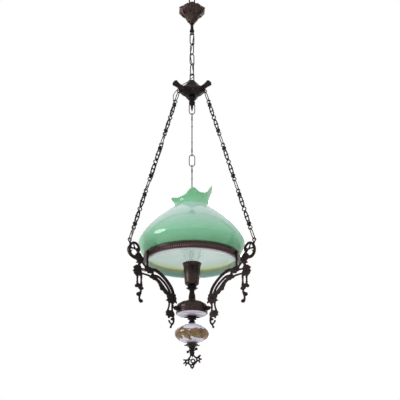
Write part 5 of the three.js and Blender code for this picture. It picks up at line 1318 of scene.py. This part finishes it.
def make_arms():
    """The same casting three times, at the three sides."""
    casting = Drawing()
    for draw in (draw_scroll, draw_boss, draw_drop, draw_arcs, draw_lower_drop, draw_seats):
        draw(casting)
    for side, azimuth in AZIMUTHS.items():
        turn = shift(0, 0, RING_PLANE * MM) @ turning(azimuth)
        piece(f"scroll_arm_{side}", casting, ["casting"], "frame", [f"arm_{side}"],
              fuse=bpy.context.scene.lamp_sizes.casting_grain / MM, soften=3, turn=turn)


# Bulb and holder

def bulb_envelope():
    """Thin pear-shaped glass as an outer and an inner face, joined at the mouth."""
    seat, top = levels("bulb_glass")
    centre, segments = top - BULB_RADIUS, 96
    outer = above(seat, (11, 0.1), (14.4, 2.6), (15.8, 6), (16.5, 10))
    outer += above(centre, (18.4, -32), (21.4, -25), (26.6, -13.6))
    outer += [(BULB_RADIUS * math.cos(a), centre + BULB_RADIUS * math.sin(a))
              for a in (math.radians(degrees) for degrees in range(-14, 86, 7))]
    line = through(outer + [(0, top)], 1.6)
    line[-1] = (0, top)
    wall = 0.8
    lining = [(max(0, r - wall * min(1, r / 8)), z - wall * max(0, (z - centre) / BULB_RADIUS))
              for r, z in line[:-1]]
    lining = [p for p in lining if p[1] < top - 0.9 or p[0] > 3] + [(0, top - 0.85)]
    shell = Shape()
    for profile in (line, lining):
        shell.add(revolved(profile, segments), grid_faces(len(profile), segments, False, True))
    inner = len(line) * segments
    shell.faces += [(j, (j + 1) % segments, inner + (j + 1) % segments, inner + j) for j in range(segments)]
    return shell


def make_bulb():
    """Clear envelope, screw cap, stem and a filament that goes up and down in a ring."""
    piece("bulb_envelope", bulb_envelope(), ["clear"], "bulb", ["bulb_glass"], crease=60)
    foot, rim = levels("bulb_cap")
    # the screw cap's thread, 3.62 mm a turn
    thread = [(12.45 + 0.5 * math.cos(2 * math.pi * (z - foot) / 3.62), z)
              for z in np.arange(foot + 6, rim - 4, 0.3)]
    cap = above(foot, (0, 0), (4.2, 0.2), (4.9, 1.5), (9.6, 4.4), (11.6, 5.4)) + thread
    cap += above(rim, (12.9, -2.6), (13.5, -1), (13.5, -0.1), (12.4, -0.1))
    cap += above(foot, (11.8, 8), (9, 6), (0, 3))
    piece("bulb_thread", turned(cap, 72), ["brass"], "bulb", ["bulb_cap"])
    foot = height_of("bulb_mount", 0)
    head = foot + 39.7
    stem = spun(above(foot, (0, 0.2), (9.2, 0.2), (8.6, 1.4), (4, 6), (2.4, 12))
                + above(head, (2.2, -2), (3.1, 0), (2.0, 2), (0, 2.1)), 0.8, 32)
    for side in (1, -1):
        support = in_plane([(side * 1.4, foot + 14), (side * 5, head - 8), (side * 10.8, head + 3)])
        stem.join(swept(support, 0.8, sides=6))
    runs = bpy.context.scene.lamp_sizes.filaments
    thin = []
    for k in range(runs + 1):
        turn = math.pi + math.pi * 2 * k / runs * 0.94
        radius, level = (9.0, head + 7.6) if k % 2 else (4.4, head - 22)
        thin.append((radius * math.cos(turn), radius * math.sin(turn), level))
    cage = swept(through([(-10.6, 0, head + 2.8)] + thin + [(10.6, 0, head + 2.8)], 1.2), 0.36, sides=5)
    # hooks hold the filament's lower bends, then its upper ones
    for x, y, z in thin[::2]:
        cage.join(swept([(0.5 * x, 0.5 * y, z + 1), (x, y, z)], 0.5, sides=5))
    for x, y, z in thin[1::2]:
        cage.join(swept([(0, 0, head + 0.6), (0.6 * x, 0.6 * y, head + 3.8), (x, y, z)], 0.5, sides=5))
    piece("bulb_stem", stem, ["clear"], "bulb", ["bulb_mount"])
    piece("bulb_filament", cage, ["ceramic"], "bulb", [])


def make_holder():
    """Spun cup and the ceramic body inside it."""
    foot, top = levels("socket_cup")
    shares = ((16.6, 0.035), (19.6, 0.09), (20.5, 0.15), (20.9, 0.24), (22.2, 0.4), (22.9, 0.6), (23.2, 0.78),
              (23.4, 0.845), (24.0, 0.86), (24.2, 0.88), (23.9, 0.9), (24.6, 0.925), (25.9, 0.955),
              (26.35, 0.975), (26.2, 0.993))
    inside = ((24.9, 0.99), (24.6, 0.95), (22.3, 0.89), (21.6, 0.78), (20.7, 0.4), (19, 0.16), (16, 0.08))
    cup = above(foot, (5.2, 0), (11.4, 0.1)) + above(foot, *shares, unit=top - foot) + [(25.5, top)]
    cup += above(foot, *inside, unit=top - foot) + above(foot, (11, 1.7), (5.2, 1.6))
    piece("cup_cover", spun(cup, 0.7, 128), ["bronze"], "frame", ["socket_cup"])
    low, high = levels("holder_body")
    body = above(low, (5.2, 0.1), (10, 0.1), (15.0, 3.6), (17.6, 8.8), (18.2, 14))
    body += above(high, (18.2, -1), (17.4, -0.1), (15.4, -0.1), (15.0, -1))
    body += above(low, (14.9, 24.3), (8.9, 24), (8.9, 6.9), (5.2, 6.9))
    piece("holder_steatite", turned(body, 64), ["ceramic"], "frame", ["holder_body"])
    # the shell, the contact and the rod are shown as the frame makes them
    for name, finish in (("holder_screw_shell", "brass"), ("holder_contact", "brass"), ("tie_rod", "wire")):
        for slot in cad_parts[name].material_slots:
            slot.link = "OBJECT"
            slot.material = look(finish)


# Column under the cup

def leafy(name, node, foot_points, top_points, whorls, grain, look_name="casting"):
    """A bored casting of the column, drawn from the foot and the top of its node, with whorls of leaves."""
    foot, top = levels(node)
    core = spun(above(foot, *foot_points) + above(top, *top_points), 0.5, 72)
    piece(name, core, [look_name], "frame", [node], whorls=whorls, fuse=grain, soften=2)


def make_column():
    """Collar, leafed stem, spun cap, glazed dish and neck."""
    foot = height_of("leaf_collar", 0)
    leaf = leaf_at(6.4, foot + 5.4, 0, 9.8, 9, 2.2, 2, curl=-4.6, rise=4.6)
    leafy("collar_of_leaves", "leaf_collar",
          [(5.3, 0.1), (7.4, 0.2), (8.4, 3), (7.6, 5), (9.8, 7.6), (11.4, 9.4)],
          [(12.4, -0.8), (9.4, -0.1), (5.3, -0.1)], [(leaf, 8, 0)], 0.4)
    foot = height_of("column_stem", 0)
    blade = leaf_at(8.2, foot + 4.6, -93, 17, 6.4, 1.2, 3, curl=1.2)
    leafy("stem_of_leaves", "column_stem",
          [(5.3, 0.1), (10.0, 0.1), (10.3, 1.2), (9.2, 2.6), (9.6, 3.6), (8.0, 5.6), (8.3, 10), (8.0, 15),
           (6.6, 21), (7.2, 23.6), (6.8, 25), (7.6, 26)],
          [(7.3, -0.1), (5.3, -0.1)], [(blade, 6, 15)], 0.4)
    rim, top = levels("dish_cap")
    side = rim + 17
    outside = ((12.6, 0.84), (14.4, 0.81), (20.8, 0.71), (27, 0.62), (32.3, 0.53), (34.4, 0.52), (36.4, 0.44),
               (40.7, 0.28), (43.2, 0.08))
    inside = ((38.2, 0.2), (31, 0.42), (20.4, 0.6), (12, 0.7), (5.2, 0.74))
    cap = above(top, (5.2, -0.1), (11.4, -0.1), (12.2, -1)) + above(side, *outside, unit=top - side)
    cap += above(side, (43.9, -2), (43.5, -3.6))
    cap += above(rim, (43.5, 8.2), (43.9, 7.4), (43.9, 5.8), (43.2, 5), (43.4, 3), (43.9, 2))
    # the rolled edge goes down over the dish's wall
    cap += above(rim, (43.8, 0), (43.5, -1.3), (42.9, -2.9), (42.1, -3.5), (41.6, -2.8), (42.1, -1.2),
                 (42, 1))
    cap += [(41.6, side)] + above(side, *inside, unit=top - side)
    piece("cap_spinning", spun(cap, 0.8, 144), ["bronze"], "frame", ["dish_cap"])
    foot, top = levels("porcelain_dish")
    dish = above(foot, (5.3, 0.1), (13, 0.1), (30.5, 1.2), (39.2, 3.4))
    dish += above(top, (41.6, -3.9), (41.5, -3), (41.3, -0.9), (40.8, -0.1), (38, -0.2))
    dish += above(foot, (37.2, 7), (28.6, 5.2), (5.3, 4.2))
    piece("dish_glazed", spun(dish, 0.8, 128), ["porcelain"], "frame", ["porcelain_dish"])
    foot, top = levels("neck_spindle")
    rosette = leaf_at(8, top - 1.6, 0, 14.2, 10.4, 1.4, 2, curl=-2.4)
    husk = leaf_at(6.2, foot + 11.6, -28, 7.5, 5, 1.1, 2, curl=-1.6, rise=2.4)
    leafy("neck_of_leaves", "neck_spindle",
          [(5.3, 0.1), (7.6, 0.1), (9.3, 2.4), (9.5, 4.4), (8.6, 6.4), (6.9, 8.2), (7.4, 10.4), (8.4, 13),
           (8.0, 14.6), (10.8, 17), (13, 19.2)],
          [(13, -0.1), (5.3, -0.1)], [(rosette, 6, 0), (husk, 6, 30)], 0.45)


def flat_map(mesh, middle, rise):
    """Maps the ball in millimetres: round the belly, and along the curve from the equator."""
    uv = mesh.uv_layers.new(name="round")
    for polygon in mesh.polygons:
        points = [mesh.vertices[i].co for i in polygon.vertices]
        turns = [math.atan2(point.y, point.x) for point in points]
        wrap = max(turns) - min(turns) > math.pi
        for corner, point, turn in zip(polygon.loop_indices, points, turns):
            lift = math.asin(max(-1, min(1, (point.z / MM - middle) / rise)))
            past_seam = 2 * math.pi if wrap and turn < 0 else 0
            uv.data[corner].uv = ((turn + past_seam) * BALL_RADIUS, lift * 38)


def make_ball():
    """Hollow painted ball, and the cup of leaves that it stands in."""
    foot, top = levels("porcelain_ball")
    middle, half = (top + foot) / 2, (top - foot) / 2
    pole = math.degrees(math.acos(10 / BALL_RADIUS))
    rise = half / math.sin(math.radians(pole))
    angles = np.radians(np.linspace(-pole, pole, 97))
    profile = [(5.3, foot + 0.05)]
    profile += [(47.45 * math.cos(a), middle + rise * math.sin(a)) for a in angles]
    profile += above(top, (5.3, -0.05), (5.3, -3.4))
    profile += [(43.9 * math.cos(a), middle + (rise - 3.5) * math.sin(a)) for a in angles[::8][::-1]]
    profile += [(5.3, foot + 3.4)]
    made = piece("ball_painted", turned(profile, 192), ["painted"], "frame",
                 ["porcelain_ball"], crease=60)
    flat_map(made.data, middle, rise)
    foot = height_of("leaf_cup", 0)
    petal = leaf_at(6.6, foot + 4.9, 0, 15, 12, 1.3, 2, curl=-0.6)
    leafy("cup_of_leaves", "leaf_cup",
          [(5.3, 0.1), (8.4, 0.1), (9.6, 2), (9.0, 3.6), (13.2, 4.8), (17, 5.4)],
          [(15, -2), (9, -0.1), (5.3, -0.1)], [(petal, 6, 0)], 0.4, "bronze")


def make_finial():
    """Shaft with side balls over flat pierced tracery of rings, spurs and knobs."""
    top = height_of("drop_finial", 1)
    shaft = spun(above(top, (0, -24.8), (3.2, -23.8), (5.8, -19), (7.2, -15.6), (6.4, -12), (7.8, -8),
                       (7.2, -5.4), (8.8, -2), (8.8, -0.2), (0, -0.2)), 0.6, 48)
    shape = Drawing().add(shaft.points, shaft.faces)

    def bar(points, *widths):
        """Bar through points of x and drop from the finial's top."""
        shape.bar(above(top, *points, unit=-1), [1.25 * width for width in widths], 4.8)

    bar([(-5, 11), (-8.4, 10.6), (-11, 13)], 3, 2.6)
    shape.join(ball(-11.4, 0, top - 13.4, 3.7))
    shape.join(ball(11.8, 0, top - 5.2, 3.7))
    bar([(5, 8), (8.4, 8.4), (11, 5.5)], 3, 2.6)
    bar([(-3, 19), (-5, 27), (-10, 33)], 4.2, 3.2, 3.8)
    bar([(3, 19), (6, 25), (12, 29), (20, 25)], 4.2, 3.4, 3.8, 3.2)
    bar([(0.5, 22), (1.5, 28)], 3.4, 2)
    rings = ((-12.5, 39.5, 4.3, 4.2), (16.5, 33, 4.0, 4.0), (2.5, 38, 5.0, 3.2), (0.5, 51.5, 3.9, 3.8))
    for x, drop, radius, size in rings:
        shape.join(ring(x, top - drop, radius, 1.15 * size, 5.2))
    spurs = ((-17, 36.5, -21.4, 35), (-17, 42, -21.4, 44.2), (-14, 44, -16.6, 49.4), (18, 26, 21.6, 22.6),
             (21, 33, 24.4, 33), (18.5, 37.5, 20.6, 41.4), (-9, 35, -7.4, 31.4))
    for x, drop, to_x, to_drop in spurs:
        bar([(x, drop), ((x + to_x) / 2, (drop + to_drop) / 2 - 0.6), (to_x, to_drop)], 4.2, 3.2, 2.8)
        shape.knob(to_x, top - to_drop, 2.3, 1.0)
    bar([(-9, 44.5), (-4, 48.5), (0, 50)], 4, 3.4, 4)
    bar([(13, 37.5), (9.5, 43), (4, 48)], 4, 3.4, 4)
    bar([(2.2, 44), (1.5, 48)], 3.4, 3.4)
    bar([(-2.8, 36), (-6, 34), (-9.4, 36)], 2.6, 2, 2.4)
    shape.join(ball(0.5, 0, top - 57, 2.5))
    shape.knob(20.2, top - 25.2, 2.6)
    piece("drop_tracery", shape, ["casting"], "frame", ["drop_finial"], fuse=0.4, soften=2)


# Lead: one twisted pair from the hook to the holder

def beside_left(radius, height, near):
    """Point at the left side: radius from the axis, height, and how far it lies towards the camera."""
    out, aside = polar(radius, AZIMUTHS["left"], height), polar(near, AZIMUTHS["left"] + 90, 0)
    return tuple(Vector(out) + Vector(aside))


def beside_chain(distance, out, near):
    """Point beside the left side chain: distance down it, outwards from it, and towards the camera."""
    lean = math.radians(CHAIN_LEAN)
    return beside_left(EYE_RADIUS + distance * math.sin(lean) + out * math.cos(lean),
                       EYE_LEVEL - distance * math.cos(lean) + out * math.sin(lean), near)


def past(a, b, distance):
    """Point on the line from a through b, a distance past b."""
    return tuple(Vector(b) + (Vector(b) - Vector(a)).normalized() * distance)


def centre_route(over):
    """Down the stem and round the links of the centre chain, to the two points over the crown."""
    low, high = levels("stem_tube")
    link_low, link_high = levels("centre_link_2")
    inside = link_high - link_low - 2 * LINK_WIRE
    first = link_high - LINK_WIRE + LINK_PITCH
    route = [(0, 0, BOSS_TOP + 6), (0, 0, high - 12), (0, 0, low + 12)]
    leaving = [(0.7, low + 1)] + above(HOOK_NUT_FOOT, (2.2, 0.2), (4, -3.4), (5.2, -6.4))
    route += [polar(radius, CHAIN_TURN - 45, level) for radius, level in leaving]
    # a quarter turn for each link
    for turn in np.arange(-0.5, 3.51, 0.25):
        radius = 3.9 + 1.6 * math.sin(math.radians(180 * turn)) ** 2
        route.append(polar(radius, CHAIN_TURN + 90 * turn, first - inside / 2 - turn * LINK_PITCH))
    bearing = height_of("crown_loop", 1) - LINK_WIRE
    return route + [polar(6.6, CHAIN_TURN - 60, bearing - 5), polar(9.4, 305, bearing - 10.5),
                    polar(13.5, 275, CROWN_TOP + 7), polar(21.5, 250, CROWN_TOP - 5)] + over


def side_route(over):
    """From over the crown down the left side chain, woven from side to side of each wire link."""
    weave = WIRE_LINK / 2 + 3
    route = [past(*over, 0.3), past(*over, 5), polar(58, 224, CROWN_TOP - 46), beside_chain(30, 15, 9),
             beside_chain(56, 4.5, 6)]
    for number, start in ((1, 1), (2, -1)):
        middle = EYE_SEAT + WIRE_LINK / 2 + number * CHAIN_PITCH
        route += [beside_chain(middle - CHAIN_PITCH / 2, start * 3, 5.8),
                  beside_chain(middle - weave, start * 3.9, 4.6), beside_chain(middle, 0, 4.2),
                  beside_chain(middle + weave, -start * 3.9, 4.6)]
    last = EYE_SEAT + WIRE_LINK / 2 + 3 * CHAIN_PITCH
    end = last + WIRE_LINK / 2 + EYE_SEAT
    return route + [
        beside_chain(last - CHAIN_PITCH / 2, 3, 5.8), beside_chain(last - weave, 3.9, 4.6),
        beside_chain(last - 3, 0, 0.5), beside_chain(last + 4, -3.8, -4.4),
        beside_chain(end - 14, -4.6, -5.2), beside_chain(end - 9, -4.8, -5.4)]


def arm_route(at_eye):
    """From the chain's end behind the left arm to the cap, and up through the column to the holder."""
    along_arm = [(190, 25), (197, 12), (196, 2), (190, -7), (180, -13), (169, -17), (162, -28), (159, -40),
                 (149, -44.5), (134, -43.5), (116, -39.5), (98, -48), (80, -63), (65, -82), (58, -100),
                 (56.5, -112)]
    level, azimuth = RING_PLANE - 135, AZIMUTHS["left"] - 13
    route = [past(*at_eye, 0.3), past(*at_eye, 6)]
    route += [beside_left(radius, z, ARM_BACK) for radius, z in above(RING_PLANE, *along_arm)]
    return route + [
        polar(54, azimuth + 3, level + 9), polar(48, azimuth, level + 1), polar(34, azimuth, level),
        polar(11, azimuth, level + 0.5), polar(5.5, azimuth, level + 2.4), polar(1.8, azimuth, level + 6),
        (0, 0, level + 12), (0, 0, level + 30), (0, 0, height_of("tie_rod", 1) + 3)]


def make_lead():
    """Two cores twisted along the whole route, cut where the lead passes from body to body."""
    over = [polar(32, 243, CROWN_TOP - 17), polar(43, 240, CROWN_TOP - 26)]
    side = side_route(over)
    routes = [through(points, 0.8) for points in (centre_route(over), side, arm_route(side[-2:]))]
    line = np.vstack(routes)
    run = np.concatenate([[0], np.cumsum(np.linalg.norm(np.diff(line, axis=0), axis=1))])
    _, across, up = frames(line)
    phase = (2 * np.pi * run / (bpy.context.scene.lamp_sizes.lead_twist / MM))[:, None]
    apart, core = 0.62, 1.5  # each core's distance from the pair's middle, and its thickness
    strands = [line + apart * (math.cos(a) * np.cos(phase) - math.sin(a) * np.sin(phase)) * across
               + apart * (math.sin(a) * np.cos(phase) + math.cos(a) * np.sin(phase)) * up
               for a in (0, math.pi)]
    ends = np.cumsum([0] + [len(route) for route in routes])

    def below(level):
        """First step of the centre stretch under a height."""
        return int(np.argmax(line[:ends[1], 2] < level))

    # each blend runs from half way down one link to half way down the next
    pivots = [height_of("centre_link_2", 1) - LINK_WIRE / 2 - number * LINK_PITCH for number in range(4)]
    cuts = [0] + [below(level + LINK_PITCH / 2) for level in pivots] + [below(pivots[3] - 15), ends[1]]
    bow = ends[1] + int(np.argmax(run[ends[1]:ends[2]] - run[ends[1]] > 75))
    spans = [
        ("stem", cuts[0], cuts[1], "hanger", None), ("link_2", cuts[1], cuts[2], "hanger", "link_2"),
        ("link_3", cuts[2], cuts[3], "link_2", "link_3"), ("link_4", cuts[3], cuts[4], "link_3", "link_4"),
        ("crown_bow", cuts[4], cuts[5], "link_4", "crown"), ("crown", cuts[5], ends[1], "crown", None),
        ("slack", ends[1], bow, "crown", "chain_left"), ("side", bow, ends[2], "chain_left", None),
        ("arm", ends[2], ends[3], "frame", None)]
    stands_for = {"stem": ["lead_centre"], "side": ["lead_side"], "arm": ["lead_arm"]}
    for name, first, last, body, other in spans:
        shape = Shape()
        last = min(last, len(line) - 1)
        for strand in strands:
            shape.join(swept(strand[first:last + 1], core, sides=7))
        made = piece(f"lead_{name}_pair", shape, ["sleeve"], None if other else body,
                     stands_for.get(name, ()), crease=80)
        if other:
            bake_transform(made)


# Studio, in metres

def seen_directly(tree):
    """1 for the camera's rays and for those that gloss or glass sends on, and 0 for light on the object."""
    path = add(tree, "ShaderNodeLightPath").outputs
    mirror = maths(tree, "MAXIMUM", path["Is Camera Ray"], path["Is Glossy Ray"])
    return maths(tree, "MAXIMUM", mirror, path["Is Transmission Ray"])


def studio_light(name, x, y, height, size, power):
    """Round soft light that faces the middle of the lamp; its height counts from there."""
    lamp = bpy.data.lights.new(name, "AREA")
    lamp.shape = "DISK"
    lamp.size = size
    lamp.energy = power
    made = link(name, lamp)
    middle = RING_PLANE * MM
    place = Vector((x, y, middle + height))
    made.location = place
    made.rotation_euler = (Vector((0, 0, middle)) - place).to_track_quat("-Z", "Y").to_euler()
    return made


def studio_world():
    """White surroundings, brighter where they are seen than as light on the object."""
    world = bpy.data.worlds.new("studio_world")
    world.use_nodes = True
    tree = world.node_tree
    tree.nodes.clear()
    strength = spread(tree, seen_directly(tree), 0.55, 1.0)
    sky = add(tree, "ShaderNodeBackground", {"Color": (1, 1, 1, 1), "Strength": strength})
    add(tree, "ShaderNodeOutputWorld", {"Surface": sky.outputs[0]})
    return world


def studio_floor():
    """Wide floor, a little way under the lamp."""
    low, reach = CAD_BOX[0][2] - 0.7, 9
    floor = link("studio_floor", bpy.data.meshes.new("studio_floor"))
    corners = [(-reach, -reach, low), (reach, -reach, low), (reach, reach, low), (-reach, reach, low)]
    floor.data.from_pydata(corners, [], [(0, 1, 2, 3)])
    material, tree = blank("painted_studio_floor")
    close(tree, {"Base Color": (*bpy.context.scene.lamp_finish.floor, 1), "Roughness": 0.9})
    floor.data.materials.append(material)
    return floor


def studio_camera():
    """Camera in front of the lamp and under its ring, looking up."""
    focal, picture, sensor = 907.4, 400, 36  # focal length and picture in pixels, sensor in millimetres
    distance, drop, lift, shift_x = 2.400, 0.8019, 22.46, 0.02
    camera = bpy.data.cameras.new("camera")
    camera.lens = focal * sensor / picture
    camera.sensor_width = sensor
    camera.shift_x = shift_x
    made = link("camera", camera)
    made.location = (0, -distance, RING_PLANE * MM - drop)
    made.rotation_euler = (math.radians(90 + lift), 0, 0)
    return made


def make_stage():
    """Floor, surroundings, three soft lights and the camera."""
    scene = bpy.context.scene
    scene.view_settings.view_transform = "Standard"
    floor = studio_floor()
    scene.world = studio_world()
    key = studio_light("key_softbox", -2.2, -0.9, 0.1, 1.2, 24)
    fill = studio_light("fill_softbox", 1.2, -2.2, 0.6, 2.4, 26)
    back = studio_light("back_softbox", 0.4, 2.2, 0.7, 1.8, 32)
    # the fill brightens the front without a second reflection in the glass
    fill.visible_glossy = False
    scene.camera = studio_camera()


# The add-on

class LampOperator:
    """What every step of the lamp shares."""

    bl_options = {"REGISTER", "UNDO"}

    def execute(self, context):
        self.make()
        return {"FINISHED"}


class MakeHanger(LampOperator, bpy.types.Operator):
    """Make the loop, the threaded stem and the nut with its hook"""

    bl_idname = "lamp.make_hanger"
    bl_label = "Hanger"
    make = staticmethod(make_hanger)


class MakeCanopy(LampOperator, bpy.types.Operator):
    """Make the fluted canopy with its thumb screw"""

    bl_idname = "lamp.make_canopy"
    bl_label = "Canopy"
    make = staticmethod(make_canopy)


class MakeCentreChain(LampOperator, bpy.types.Operator):
    """Make the four wire links over the crown"""

    bl_idname = "lamp.make_centre_chain"
    bl_label = "Centre chain"
    make = staticmethod(make_centre_chain)


class MakeCrown(LampOperator, bpy.types.Operator):
    """Make the three-lobed crown with its loop and drop"""

    bl_idname = "lamp.make_crown"
    bl_label = "Crown"
    make = staticmethod(make_crown)


class MakeSideChains(LampOperator, bpy.types.Operator):
    """Make the three side chains of cast and wire links"""

    bl_idname = "lamp.make_side_chains"
    bl_label = "Side chains"
    make = staticmethod(make_side_chains)


class MakeArms(LampOperator, bpy.types.Operator):
    """Make the three pierced scroll arms"""

    bl_idname = "lamp.make_arms"
    bl_label = "Scroll arms"
    make = staticmethod(make_arms)


class MakeGalleryRing(LampOperator, bpy.types.Operator):
    """Make the ribbed gallery ring and its screws"""

    bl_idname = "lamp.make_gallery_ring"
    bl_label = "Gallery ring"
    make = staticmethod(make_gallery_ring)


class MakeShade(LampOperator, bpy.types.Operator):
    """Make the crimped glass shade"""

    bl_idname = "lamp.make_shade"
    bl_label = "Glass shade"
    make = staticmethod(make_shade)


class MakeHolder(LampOperator, bpy.types.Operator):
    """Make the socket cup and the lamp holder"""

    bl_idname = "lamp.make_holder"
    bl_label = "Cup and holder"
    make = staticmethod(make_holder)


class MakeBulb(LampOperator, bpy.types.Operator):
    """Make the clear bulb with its cap and filament"""

    bl_idname = "lamp.make_bulb"
    bl_label = "Bulb"
    make = staticmethod(make_bulb)


class MakeColumn(LampOperator, bpy.types.Operator):
    """Make the column of leaf collars, spun cap and glazed dish"""

    bl_idname = "lamp.make_column"
    bl_label = "Column"
    make = staticmethod(make_column)


class MakeBall(LampOperator, bpy.types.Operator):
    """Make the painted ball and the leaf cup under it"""

    bl_idname = "lamp.make_ball"
    bl_label = "Painted ball"
    make = staticmethod(make_ball)


class MakeFinial(LampOperator, bpy.types.Operator):
    """Make the pierced drop finial"""

    bl_idname = "lamp.make_finial"
    bl_label = "Drop finial"
    make = staticmethod(make_finial)


class MakeLead(LampOperator, bpy.types.Operator):
    """Make the twisted lead along its whole route"""

    bl_idname = "lamp.make_lead"
    bl_label = "Twisted lead"
    make = staticmethod(make_lead)


class MakeStage(LampOperator, bpy.types.Operator):
    """Make the floor, the studio light and the camera"""

    bl_idname = "lamp.make_stage"
    bl_label = "Stage"
    make = staticmethod(make_stage)


STEPS = (MakeHanger, MakeCanopy, MakeCentreChain, MakeCrown, MakeSideChains, MakeArms, MakeGalleryRing,
         MakeShade, MakeHolder, MakeBulb, MakeColumn, MakeBall, MakeFinial, MakeLead, MakeStage)


class LampPanel(bpy.types.Panel):
    """Sizes, colours and steps of the lamp"""

    bl_idname = "VIEW3D_PT_lamp"
    bl_label = "Hanging lamp"
    bl_space_type = "VIEW_3D"
    bl_region_type = "UI"
    bl_category = "Lamp"

    def draw(self, context):
        for group in (context.scene.lamp_sizes, context.scene.lamp_finish):
            box = self.layout.box()
            for name in group.bl_rna.properties.keys():
                if name not in ("rna_type", "name"):
                    box.prop(group, name)
        for step in STEPS:
            self.layout.operator(step.bl_idname)


def register():
    for kind in (LampFinish, LampSizes, *STEPS, LampPanel):
        bpy.utils.register_class(kind)
    bpy.types.Scene.lamp_finish = bpy.props.PointerProperty(type=LampFinish)
    bpy.types.Scene.lamp_sizes = bpy.props.PointerProperty(type=LampSizes)


def unregister():
    del bpy.types.Scene.lamp_sizes
    del bpy.types.Scene.lamp_finish
    for kind in (LampPanel, *reversed(STEPS), LampSizes, LampFinish):
        bpy.utils.unregister_class(kind)


def main():
    register()
    for step in STEPS:
        group, name = step.bl_idname.split(".")
        getattr(getattr(bpy.ops, group), name)()
    bpy.context.view_layer.update()


if __name__ == "__main__":
    main()
